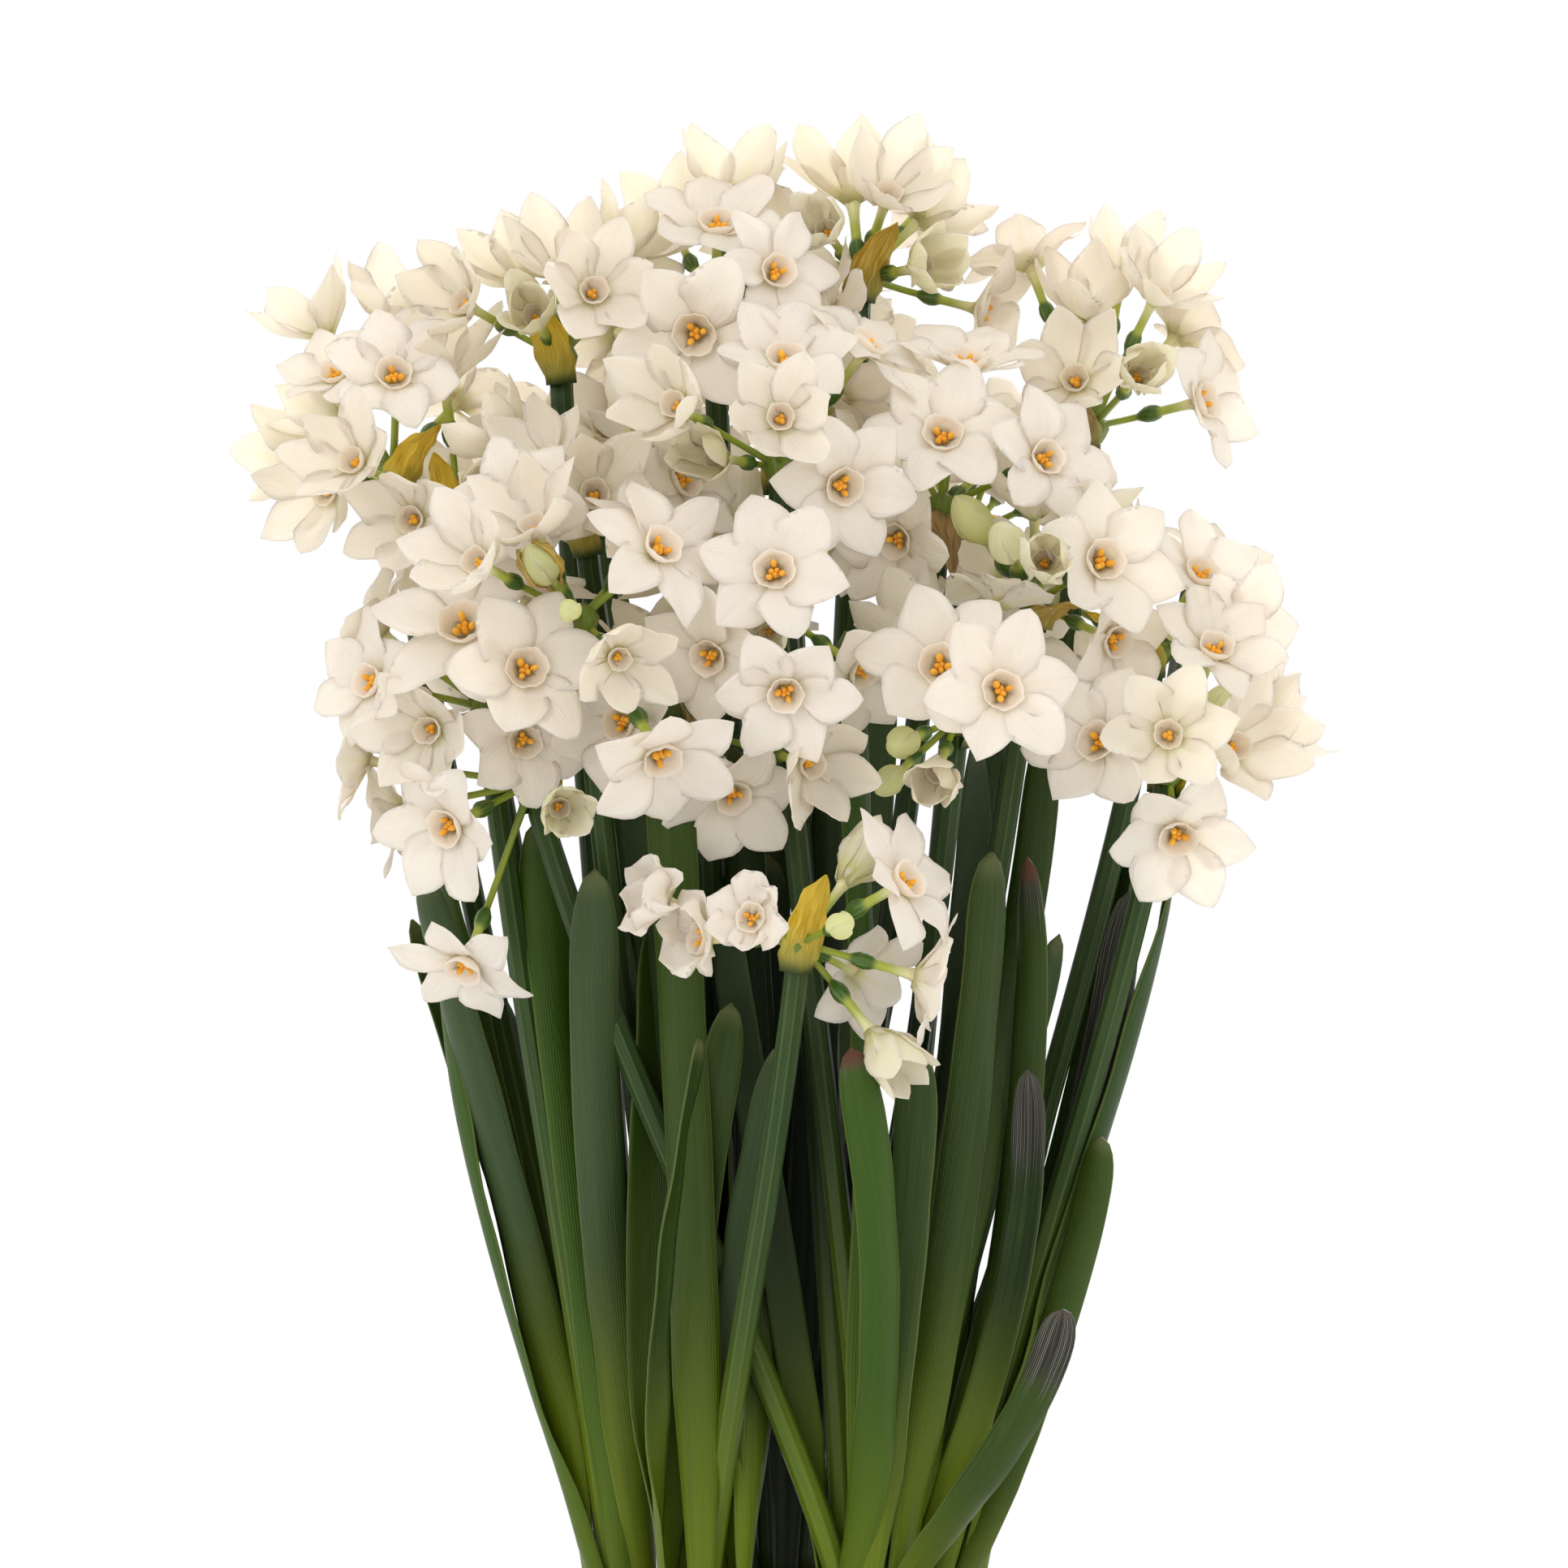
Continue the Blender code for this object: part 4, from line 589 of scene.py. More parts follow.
def leafShape(bulb, angle, tip, width, bow, look):
    points, ways = leafPath(bulb, angle, tip, width, bow, look, leafSize["fractions"])
    widths = []
    for fraction, share in zip(leafSize["fractions"], leafSize["shares"]):
        grown = min(fraction / leafSize["grownAt"], 1)
        widths.append((leafSize["footWidth"] * (1 - grown) + width * grown) * share)
    return blade(points, ways, widths, leafSize["thick"])


def sideLeaves():
    draw = random.Random(sideLeafLook["seed"])
    fan, turned, bow = sideLeafLook["fan"], sideLeafLook["turned"], sideLeafLook["bow"]
    rows = []
    for bulb, centre in enumerate(bulbs, start=1):
        outward = math.degrees(math.atan2(centre.y, centre.x)) if centre.length else 90
        count = sideLeafCounts[bulb]
        place = "front" if centre.y < 0 else "back"
        for index in range(count):
            angle = outward - fan + 2 * fan * index / (count - 1)
            spread = centre * draw.uniform(*leafSpreads[place])
            side = compass(angle) * draw.uniform(*sideLeafLook["aside"]) * mm
            height = draw.uniform(*leafHeights[place]) * mm
            tip = centre + spread + side + Vector((0, 0, viewGrid["edgeHeight"] + height))
            width = draw.uniform(*sideLeafLook["width"]) * mm
            look = math.degrees(math.atan2(tip.y, tip.x)) + 90 + draw.uniform(-turned, turned)
            rows.append((bulb, angle, tip, width, draw.uniform(-bow, bow), look))
    return rows


def leafChoices(bulb, angle, tip, width, bow, look):
    for depth in leafSteps["depth"]:
        moved = tip + Vector((0, depth * mm, 0))
        for bowed in leafSteps["bow"]:
            for turned in leafSteps["angle"]:
                yield bulb, angle + turned, moved, width, bow + bowed, look


def placeLeaves():
    leaves = {bulb: [] for bulb in range(1, len(bulbs) + 1)}
    rows = []
    for bulb, angle, (right, down, depth), width, bow, look in frontLeaves:
        rows.append((bulb, angle, inView(right, down, depth * mm), width * mm, bow, look))
    rows += sideLeaves()
    for row in rows:
        owner = "leaves_%d" % row[0]
        found = None
        for owners in ([], [owner]):
            choices = ((choice, leafShape(*choice)) for choice in leafChoices(*row))
            found = found or next((pair for pair in choices if hasRoom(owners, pair[1])), None)
        if found:
            leaves[row[0]].append(found[0])
            keep(owner, found[1])
    return leaves


stalks = placeStalks()
sprigs = placeFlorets(stalks)
leaves = placeLeaves()
print("placed", sum(map(len, sprigs.values())), "florets and", sum(map(len, leaves.values())), "leaves")


# Fine meshes
def smooth(value):
    value = np.clip(value, 0, 1)
    return value * value * (3 - 2 * value)


def row3(vector):
    return np.array(tuple(vector), float)


def floretFrame(pose):  # the middle, the way it faces and two axes across, as rows of numbers
    facing = pose["facing"]
    return [row3(part) for part in (pose["centre"], facing, *floretAxes(facing, pose["roll"]))]


def phasesFrom(draw, count):
    return [draw.uniform(0, 6.28) for _ in range(count)]


def roundTurn(sides):
    return np.linspace(0, 2 * math.pi, sides, endpoint=False)


class Skin:  # points, faces and marks gathered for one piece
    def __init__(self):
        self.points, self.faces, self.marks, self.count = [], [], [], 0

    def add(self, points, faces, **marks):
        points = np.reshape(points, (-1, 3))
        for block in faces:
            self.faces += (np.asarray(block) + self.count).tolist()
        self.points.append(points)
        self.marks.append({key: np.broadcast_to(np.ravel(value), len(points)) if np.size(value) == 1
                           else np.ravel(value) for key, value in marks.items()})
        self.count += len(points)

    def dress(self, name, finish, slotName, *nodes):
        mesh = bpy.data.meshes.new(name)
        points = np.concatenate(self.points)
        mesh.from_pydata(points.tolist(), [], self.faces)
        for key in sorted(set().union(*self.marks)):
            values = np.concatenate([marks.get(key, np.zeros(len(block)))
                                     for marks, block in zip(self.marks, self.points)])
            layer = mesh.attributes.new(key, "FLOAT", "POINT")
            layer.data.foreach_set("value", values.astype(np.float32))
        mesh.polygons.foreach_set("use_smooth", [True] * len(mesh.polygons))
        mesh.update()
        piece = bpy.data.objects.new(name, mesh)
        stage.collection.objects.link(piece)
        mesh.materials.append(finish)
        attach(piece, "root")
        if nodes:
            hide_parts(*nodes)


def gridFaces(rows, columns, wrap=False):
    numbers = np.arange(rows * columns).reshape(rows, columns)
    if wrap:
        numbers = np.concatenate([numbers, numbers[:, :1]], axis=1)
    corners = [numbers[:-1, :-1], numbers[:-1, 1:], numbers[1:, 1:], numbers[1:, :-1]]
    return np.stack(corners, -1).reshape(-1, 4)


def closedRings(skin, points, ends, **marks):  # rings of points with a fan at both ends
    rows, sides = points.shape[:2]
    index = np.arange(sides)
    after = np.roll(index, -1)
    top, hub = (rows - 1) * sides, rows * sides
    lower = np.stack([after, index, np.full(sides, hub)], -1)
    upper = np.stack([index + top, after + top, np.full(sides, hub + 1)], -1)
    full = {}
    for key, value in marks.items():  # one value, or a pair: of the rings, and of the two ends
        if isinstance(value, tuple):
            value = np.append(np.broadcast_to(value[0], (rows, sides)).ravel(), value[1])
        full[key] = value
    faces = [gridFaces(rows, sides, wrap=True), lower, upper]
    skin.add(np.concatenate([points.reshape(-1, 3), ends]), faces, **full)


def slab(skin, front, back, **marks):  # two sheets of points, joined round their edge
    rows, columns = front.shape[:2]
    size = rows * columns
    quads = gridFaces(rows, columns)
    numbers = np.arange(size).reshape(rows, columns)
    edge = np.concatenate([numbers[0, :], numbers[1:, -1], numbers[-1, -2::-1], numbers[-2:0:-1, 0]])
    after = np.roll(edge, -1)
    rim = np.stack([after, edge, edge + size, after + size], -1)
    both = {key: np.concatenate([np.broadcast_to(value, (rows, columns)).ravel()] * 2)
            for key, value in marks.items()}
    both["back"] = np.repeat([0.0, 1.0], size)
    skin.add(np.concatenate([front.reshape(-1, 3), back.reshape(-1, 3)]),
             [quads, quads[:, ::-1] + size, rim], **both)


def rings(path, firstAcross):  # tangents and two cross axes that turn as little as they can
    path = np.asarray(path, float)
    ways = np.gradient(path, axis=0)
    ways /= np.linalg.norm(ways, axis=1, keepdims=True)
    across = row3(firstAcross)
    axes = []
    for way in ways:
        across = across - way * across.dot(way)
        across /= np.linalg.norm(across)
        axes.append(across)
    axes = np.array(axes)
    return path, ways, axes, np.cross(ways, axes)


def tube(skin, path, radii, sides, firstAcross, ridge=0.0, ridges=6, **marks):
    path, _, axisA, axisB = rings(path, firstAcross)
    turn = roundTurn(sides)
    radii = np.asarray(radii)[:, None] * (1 + ridge * np.cos(ridges * turn))[None, :]
    points = (path[:, None] + axisA[:, None] * (np.cos(turn) * radii)[..., None]
              + axisB[:, None] * (np.sin(turn) * radii)[..., None])
    full = {}
    for key, value in marks.items():
        value = np.broadcast_to(np.asarray(value, float).reshape(-1, 1), (len(path), 1))
        full[key] = (value, value[[0, -1], 0])
    closedRings(skin, points, path[[0, -1]], round=(turn / (2 * math.pi), [0, 0]), **full)


# Petals and corona of one floret. Pairs are the ends of what is drawn: degrees, or shares of the size
petalLook = {"rows": 11, "columns": 8, "hiddenRows": 8, "hiddenColumns": 6, "halfWidth": 6.5 * mm,
             "thick": 0.42 * mm, "least": 0.12 * mm, "pleat": 0.22 * mm, "rib": 0.35 * mm, "wave": 0.75 * mm,
             "crumple": 0.45 * mm, "edge": 0.3 * mm, "slide": 0.5 * mm, "footShare": 0.34, "taperFrom": 0.4,
             "lean": (-5, 6), "tipLean": (-16, 20), "length": (0.95, 1.06), "width": (0.92, 1.05),
             "broadTip": (0.85, 1.05), "slimTip": (0.62, 0.82),
             "flatBowl": (-0.05, 0.22), "deepBowl": (0.18, 0.36),
             "shares": {"star": 0.9, "open": 1.1, "cup": 1.0, "tight": 0.84},
             "closer": {"star": 0, "open": 0, "cup": 3, "tight": 12},
             "withered": {"curl": 62, "shorter": 0.2, "crumple": 3.2, "wave": 2.4}}


def finePetal(skin, pose, petal, draw):
    footLean, endLean, lengthFactor = kinds[pose["kind"]]
    look, size = petalLook, pose["size"]
    centre, facing, across, upAxis = floretFrame(pose)
    outer = petal % 2 == 0
    rows = look["hiddenRows" if pose["hidden"] else "rows"]
    columns = look["hiddenColumns" if pose["hidden"] else "columns"]
    t = 1 - (1 - np.linspace(0, 1, rows)) ** 1.25
    s = np.linspace(-1, 1, columns)[None, :]
    closer = look["closer"][pose["kind"]]
    lean = math.radians(footLean - closer * 0.6 + draw.uniform(*look["lean"]))
    tipLean = math.radians(endLean - closer + draw.uniform(*look["tipLean"]))
    crumple, wave = look["crumple"], look["wave"]
    length = floretSize["petalLength"] * size * lengthFactor * draw.uniform(*look["length"])
    if pose["withered"]:
        old = look["withered"]
        tipLean -= math.radians(old["curl"] * draw.uniform(0.5, 1.3))
        length *= 1 - old["shorter"]
        crumple, wave = crumple * old["crumple"], wave * old["wave"]
    angle = lean + (tipLean - lean) * smooth((t - 0.25) / 0.6)
    steps = np.diff(t, prepend=0) * length
    out = floretSize["throat"] * (0.7 if outer else 0.9) + np.cumsum(np.sin(angle) * steps)
    rise = np.cumsum(np.cos(angle) * steps) + (-0.45 if outer else 0.35) * mm
    point = draw.uniform(*look["broadTip" if pose["kind"] == "star" or outer else "slimTip"])
    taper = np.clip(t - look["taperFrom"], 0, 1) / (1 - look["taperFrom"])
    closing = np.clip(1 - taper ** 2.1, 0, 1) ** point
    width = look["halfWidth"] * size * look["shares"][pose["kind"]] * draw.uniform(*look["width"])
    half = width * (look["footShare"] + (1 - look["footShare"]) * smooth(t / 0.45)) * closing
    half = np.maximum(half * (1.05 if outer else 0.95), look["least"])
    turn = petal * math.pi / 3 + math.radians(draw.uniform(-4, 4))
    radial = across * math.cos(turn) + upAxis * math.sin(turn)
    sideways = upAxis * math.cos(turn) - across * math.sin(turn)
    normal = facing[None] * np.sin(angle)[:, None] - radial[None] * np.cos(angle)[:, None]
    column = t[:, None]
    twist = math.tan(math.radians(draw.uniform(-16, 16))) * column
    bowl = draw.uniform(*look["flatBowl" if pose["kind"] in wideOpen else "deepBowl"])
    phases = phasesFrom(draw, 4)
    lift = bowl * half[:, None] * s * s + twist * s * half[:, None]
    lift = lift + look["pleat"] * np.cos(s * 7.5 + phases[0]) * column * (1 - 0.5 * column)
    lift = lift - look["rib"] * np.exp(-(s / 0.18) ** 2) * column
    lift = lift + wave * np.abs(s) ** 3 * np.sin(column * 8 + phases[1] + s)
    lift = lift + crumple * np.sin(2.4 * s + 4.1 * column + phases[2]) * np.sin(3.3 * column + phases[3])
    lift = lift * np.minimum(1, 1.6 * closing)[:, None]
    slide = look["slide"] * np.sin(3 * column + phases[3]) * column
    front = (centre + radial * out[:, None])[:, None] + facing * rise[:, None, None]
    uneven = np.sin(11 * column + phases[0] + 2.1 * np.sign(s)) * s
    edge = look["edge"] * uneven * np.minimum(1, 1.5 * closing)[:, None]
    front = front + sideways * (s * half[:, None] + slide + edge)[..., None]
    front = front + normal[:, None] * lift[..., None]
    thick = look["thick"] * (1 - 0.72 * s * s) * (1 - 0.55 * column)
    back = front - normal[:, None] * thick[..., None]
    slab(skin, front, back, along=column + 0 * s, across=s + 0 * column, young=pose["young"],
         tint=pose["tint"])


# Levels go from the throat (below 0) to the rim (1). Reach is the radius there, as a share of the last one
coronaLook = {"sides": 32, "rimRadius": 4.5 * mm, "height": 4.1 * mm, "wall": 0.4 * mm, "lobe": 0.045,
              "levels": [-0.64, -0.32, 0.0, 0.2, 0.42, 0.72, 1.0],
              "reach": [0.8, 1.2, 1.9, 3.0, 4.1, 4.75, 5.1]}


def fineCorona(skin, pose, draw):
    size = pose["size"]
    spread = kinds[pose["kind"]][1]
    centre, facing, across, upAxis = floretFrame(pose)
    opened = min(1.0, 0.62 + spread / 190)
    levels, reach = np.array(coronaLook["levels"]), np.array(coronaLook["reach"])
    reach = reach / reach[-1] * coronaLook["rimRadius"] * size * opened
    turn = roundTurn(coronaLook["sides"])[None]
    phases = phasesFrom(draw, 3)
    lobes = 1 + np.clip(levels, 0, 1)[:, None] ** 2 * (
        coronaLook["lobe"] * np.cos(6 * turn + phases[0]) + 0.035 * np.cos(11 * turn + phases[1])
        + 0.04 * np.cos(2 * turn + phases[2]))
    height = levels[:, None] * coronaLook["height"] * size * (
        1 + 0.1 * np.cos(3 * turn + phases[1]) * np.clip(levels, 0, 1)[:, None] ** 2)

    def sheet(shift):
        radius = reach[:, None] * lobes + shift
        return (centre + facing * height[..., None]
                + (across * np.cos(turn)[..., None] + upAxis * np.sin(turn)[..., None]) * radius[..., None])

    inner, outerWall = sheet(0), sheet(coronaLook["wall"] * (1.2 - 0.7 * np.clip(levels, 0, 1))[:, None])
    rows, sides = inner.shape[:2]
    size = rows * sides
    quads = gridFaces(rows, sides, wrap=True)
    index = np.arange(sides)
    after = np.roll(index, -1)
    top = (rows - 1) * sides
    rim = np.stack([index + top, after + top, after + top + size, index + top + size], -1)
    floor = np.stack([index, after, np.full(sides, 2 * size)], -1)
    level = np.broadcast_to(levels[:, None], (rows, sides)).ravel()
    skin.add(np.concatenate([inner.reshape(-1, 3), outerWall.reshape(-1, 3), inner[0].mean(0)[None]]),
             [quads[:, ::-1], quads + size, rim[:, ::-1], floor[:, ::-1]],
             along=np.append(np.concatenate([level, level]), levels[0]),
             cup=np.append(np.repeat([1.0, 0.6], size), 1.0), young=pose["young"], tint=pose["tint"])


# Two rings of three anthers: how far out and how high each ring stands, in mm, and how far it leans out
antherLook = {"length": 3.0 * mm, "radius": 0.76 * mm, "sides": 7, "profile": [0.25, 0.8, 1.0, 0.95, 0.3],
              "upper": (1.25, 0.3, 0.34), "lower": (0.45, -0.9, 0.12)}


def fineAnthers(skin, pose, draw):
    size = pose["size"]
    centre, facing, across, upAxis = floretFrame(pose)
    profile = np.array(antherLook["profile"])
    for tier in ["upper", "lower"] if pose["kind"] in wideOpen else ["lower"]:
        radius, height, lean = antherLook[tier]
        for number in range(3):
            turn = 2 * math.pi * (number + (tier == "lower") * 0.5) / 3 + draw.uniform(-0.25, 0.25)
            radial = across * math.cos(turn) + upAxis * math.sin(turn)
            foot = centre + radial * radius * mm * size + facing * height * mm * size
            way = facing + radial * lean
            steps = np.linspace(0, antherLook["length"] * size, len(profile))[:, None]
            tube(skin, foot + way * steps, profile * antherLook["radius"] * size * draw.uniform(0.85, 1.15),
                 antherLook["sides"], across, tint=draw.uniform(0, 1))


# Stem of one floret: pedicel, ovary and tube. Pairs are how far along and what share of the radius
stemLook = {"pedicel": 0.98 * mm, "ovary": 2.15 * mm, "ovaryLength": 7.0 * mm, "tube": 1.2 * mm, "sides": 9,
            "rings": 8, "budTube": 11 * mm, "sunk": 0.3 * mm, "pull": 0.35,
            "ovaryRings": [(0.15, 0.62), (0.35, 0.9), (0.6, 1.0), (0.82, 0.86), (1.0, 0.56)],
            "tubeRings": [(0.3, 0.95), (0.6, 1.0), (0.85, 1.2), (1.0, 1.55)]}


def stemCurve(node, base, facing, count):
    reach = (base - node).length
    outward = (base - node).normalized()
    startPull = node + outward * reach * stemLook["pull"]
    endPull = base - facing * reach * stemLook["pull"]
    return [bezier(node, startPull, endPull, base, t) for t in np.linspace(0, 1, count)]


def fineStem(skin, pose):
    node, centre, facing, size = pose["node"], pose["centre"], pose["facing"], pose["size"]
    across, _ = floretAxes(facing, pose["roll"])
    tubeLength = stemLook["budTube"] * size if pose["kind"] == "bud" else floretSize["tubeLength"]
    ovaryTop = centre - facing * (tubeLength - 2.5 * mm)
    ovaryFoot = ovaryTop - facing * stemLook["ovaryLength"] * size
    count = stemLook["rings"]
    path = stemCurve(node, ovaryFoot, facing, count)
    radii = [stemLook["pedicel"] * (1.25 - 0.35 * min(step / 3, 1)) for step in range(count)]
    marks = list(np.linspace(0, 0.4, count))
    for step, share in stemLook["ovaryRings"]:
        path.append(ovaryFoot.lerp(ovaryTop, step))
        radii.append(stemLook["ovary"] * size * share)
        marks.append(0.4 + 0.25 * step)
    for step, share in stemLook["tubeRings"]:
        path.append(ovaryTop.lerp(centre - facing * stemLook["sunk"], step))
        radii.append(stemLook["tube"] * share * size)
        marks.append(0.65 + 0.35 * step)
    tube(skin, path, radii, stemLook["sides"], across, ridge=0.05, ridges=3, along=np.array(marks),
         tint=pose["tint"], young=pose["young"])


# A bud: three outer petals, each with one edge over its neighbour's
budLook = {"sides": 42, "petals": 3, "overlap": 0.2, "belly": 0.06, "spiral": 0.22,
           "steps": [-4, -3, -1.8, -0.5, 0.8, 2.2, 3.8, 5.4, 6.9, 8.2, 9.3, 10.1, 10.6],
           "shares": [0.38, 0.47, 0.66, 0.86, 0.97, 1.0, 0.96, 0.87, 0.74, 0.57, 0.38, 0.19, 0.06]}


def fineBud(skin, pose):
    size = pose["size"]
    centre, facing, across, upAxis = floretFrame(pose)
    steps = np.array(budLook["steps"]) * mm * size
    turn = roundTurn(budLook["sides"])[None]
    t = np.linspace(0, 1, len(steps))[:, None]
    phase = (turn / (2 * math.pi) * budLook["petals"] + budLook["spiral"] * t) % 1
    overlap = budLook["overlap"] * np.sin(math.pi * np.clip(0.1 + t, 0, 1))
    shape = 1 + overlap * (phase - 0.5) + budLook["belly"] * np.sin(math.pi * phase)
    radius = np.array(budLook["shares"])[:, None] * floretSize["budRadius"] * size * shape
    points = (centre + facing * steps[:, None, None] + across * (np.cos(turn) * radius)[..., None]
              + upAxis * (np.sin(turn) * radius)[..., None])
    ends = np.stack([centre + facing * steps[0], centre + facing * (steps[-1] + 0.3 * mm)])
    closedRings(skin, points, ends, along=(0.1 + 0.85 * t, [0.1, 0.95]), across=(2 * phase - 1, [0, 0]),
                young=pose["young"], tint=pose["tint"], back=1.0)


# A bud that is still in its papery wrap: two thin sheets that hold it from the sides and open to the front.
# Body is how wide it is (share of the bud's radius) at those steps, in mm from the bud's middle
wrapLook = {"rows": 14, "columns": 9, "foot": -7 * mm, "tip": 11.5 * mm, "spread": math.radians(64),
            "off": 0.7 * mm, "crease": 0.4 * mm, "thick": 0.2 * mm, "turned": (98, -104),
            "steps": [-7, -4, -0.5, 2, 6, 9, 12], "body": [0.36, 0.45, 0.9, 1.0, 0.82, 0.55, 0.3]}
wrappedBuds = [("18", 4)]


def fineWrap(skin, pose, draw):
    centre, facing, size = row3(pose["centre"]), row3(pose["facing"]), pose["size"]
    front = np.array([0.0, -1.0, 0.0])
    front -= facing * front.dot(facing)
    front /= np.linalg.norm(front)
    side = np.cross(facing, front)
    t = np.linspace(0, 1, wrapLook["rows"])[:, None]
    s = np.linspace(-1, 1, wrapLook["columns"])[None, :]
    step = wrapLook["foot"] + (wrapLook["tip"] - wrapLook["foot"]) * t
    body = np.interp(step / mm, wrapLook["steps"], wrapLook["body"])
    for turned in wrapLook["turned"]:
        phases = phasesFrom(draw, 3)
        turn = math.radians(turned) + s * wrapLook["spread"] * np.clip(1.05 - t ** 3, 0.05, 1)
        turn = turn + 0.12 * np.sin(5 * t + phases[0])
        crease = wrapLook["crease"] * (np.sin(7 * s + 3 * t + phases[1]) + np.sin(13 * t - 4 * s + phases[2]))
        radius = floretSize["budRadius"] * size * body + wrapLook["off"] + crease * smooth(t / 0.3)
        across = front * np.cos(turn)[..., None] + side * np.sin(turn)[..., None]
        outer = centre + facing * (step * size)[..., None] + across * radius[..., None]
        slab(skin, outer - across * wrapLook["thick"], outer, along=0.45 + 0.5 * t + 0 * s, across=s + 0 * t,
             tint=draw.uniform(0.5, 0.62))


# The papery sheath at the top of a stalk: its creases are two lengthwise and two across
spatheLook = {"rows": 20, "columns": 11, "halfWidth": 6.2 * mm, "thick": 0.22 * mm, "sheath": 7 * mm,
              "droop": 0.3, "creases": (0.55 * mm, 0.4 * mm, 0.35 * mm, 0.3 * mm)}


def spathePath(node, way, length, fractions):
    way = Vector(way).normalized()
    droop = Vector((0, 0, -spatheLook["droop"]))
    return [node + (way + droop * t) * length * t for t in fractions]


def roughSpathe(node, way, length):
    points = spathePath(node, way, length, [0, 0.6, 1])
    facing = Vector(way).normalized().cross(Vector((0, 0, 1)))
    return blade(points, [facing.cross(Vector(way).normalized())] * 3, [4 * mm, 9 * mm, 0], 1.2 * mm)


def fineSpathe(skin, stalk, way, length, browned, draw):
    node = stalk["node"]
    fractions = np.linspace(0, 1, spatheLook["rows"])
    foot = node - stalk["way"] * spatheLook["sheath"]
    middle, tip = spathePath(node, way, length, [0.5, 1])
    path = np.array([tuple(bezier(foot, node, middle, tip, t)) for t in fractions])
    tangent = Vector(way).normalized()
    normal = tangent.cross(Vector((0, 0, 1))).cross(tangent)
    path, _, normals, sides = rings(path, normal)
    s = np.linspace(-1, 1, spatheLook["columns"])[None, :]
    t = fractions[:, None]
    half = spatheLook["halfWidth"] * (0.76 + 0.24 * smooth(t / 0.35)) * np.clip(1 - t ** 2.6, 0.02, 1) ** 0.8
    phases = phasesFrom(draw, 4)
    hug = 0.84 - 0.49 * smooth(t / 0.7)
    depths = spatheLook["creases"]
    crease = depths[0] * np.sin(9 * t + 2.5 * s + phases[0]) + depths[1] * np.sin(19 * t - 5 * s + phases[1])
    crease = crease + depths[2] * np.sin(s * 9 + phases[2] + 3 * t)
    crease = crease + depths[3] * np.sin(31 * t + 7 * s + phases[3])
    lift = hug * half * (s * s - 1) + crease * np.clip(half / (3 * mm), 0, 1) * smooth(t / 0.2)
    front = path[:, None] + sides[:, None] * (s * half)[..., None] + normals[:, None] * lift[..., None]
    back = front - normals[:, None] * spatheLook["thick"]
    slab(skin, front, back, along=t + 0 * s, across=s + 0 * t, tint=browned)


# Finishes
class Wire:  # a socket that can be used in sums
    def __init__(self, finish, socket):
        self.finish, self.socket = finish, socket

    def sum(self, operation, first, second=0.0):
        return self.finish.node("ShaderNodeMath", {"operation": operation}, {0: first, 1: second})

    def __add__(self, other):
        return self.sum("ADD", self, other)

    __radd__ = __add__

    def __sub__(self, other):
        return self.sum("SUBTRACT", self, other)

    def __rsub__(self, other):
        return self.sum("SUBTRACT", other, self)

    def __mul__(self, other):
        return self.sum("MULTIPLY", self, other)

    __rmul__ = __mul__

    def size(self):
        return self.sum("ABSOLUTE", self)

    def wave(self):
        return self.sum("SINE", self)

    def between(self, low, high):  # 0 below low, 1 above high, smooth in between
        return self.finish.node("ShaderNodeMapRange", {"interpolation_type": "SMOOTHSTEP"},
                                {0: self, 1: low, 2: high, 3: 0.0, 4: 1.0})


class Finish:
    def __init__(self, name, **plain):
        self.material = bpy.data.materials.new(name)
        self.material.use_nodes = True
        self.tree = self.material.node_tree
        self.shader = self.tree.nodes["Principled BSDF"]
        for key, value in plain.items():
            self.shader.inputs[key.replace("_", " ")].default_value = value

    def node(self, kind, settings=None, inputs=None, output=0):
        made = self.tree.nodes.new(kind)
        for key, value in (settings or {}).items():
            setattr(made, key, value)
        for key, value in (inputs or {}).items():
            if isinstance(value, Wire):
                self.tree.links.new(value.socket, made.inputs[key])
            else:
                made.inputs[key].default_value = value
        return Wire(self, made.outputs[output])

    def mark(self, name):
        return self.node("ShaderNodeAttribute", {"attribute_name": name}, output="Fac")

    def place(self):
        return self.node("ShaderNodeTexCoord", output="Object")

    def blend(self, mask, first, second):
        first, second = ((*c, 1) if isinstance(c, tuple) and len(c) == 3 else c for c in (first, second))
        return self.node("ShaderNodeMix", {"data_type": "RGBA"}, {0: mask, 6: first, 7: second}, output=2)

    def noise(self, scale, detail=2.0, vector=None):
        inputs = {"Scale": scale, "Detail": detail, "Vector": vector or self.place()}
        return self.node("ShaderNodeTexNoise", {}, inputs)

    def spot(self, x, y, z):
        return self.node("ShaderNodeCombineXYZ", {}, {0: x, 1: y, 2: z})

    def bump(self, height, strength, distance):
        return self.node("ShaderNodeBump", {}, {"Height": height, "Strength": strength, "Distance": distance})

    def feed(self, **sockets):
        for key, wire in sockets.items():
            self.tree.links.new(wire.socket, self.shader.inputs[key.replace("_", " ")])

    def letLightThrough(self, colour, share):  # part of the light comes out on the other side
        behind = self.node("ShaderNodeBsdfTranslucent", {}, {"Color": colour})
        front = Wire(self, self.shader.outputs[0])
        both = self.node("ShaderNodeMixShader", {}, {0: share, 1: front, 2: behind})
        self.tree.links.new(both.socket, self.tree.nodes["Material Output"].inputs["Surface"])


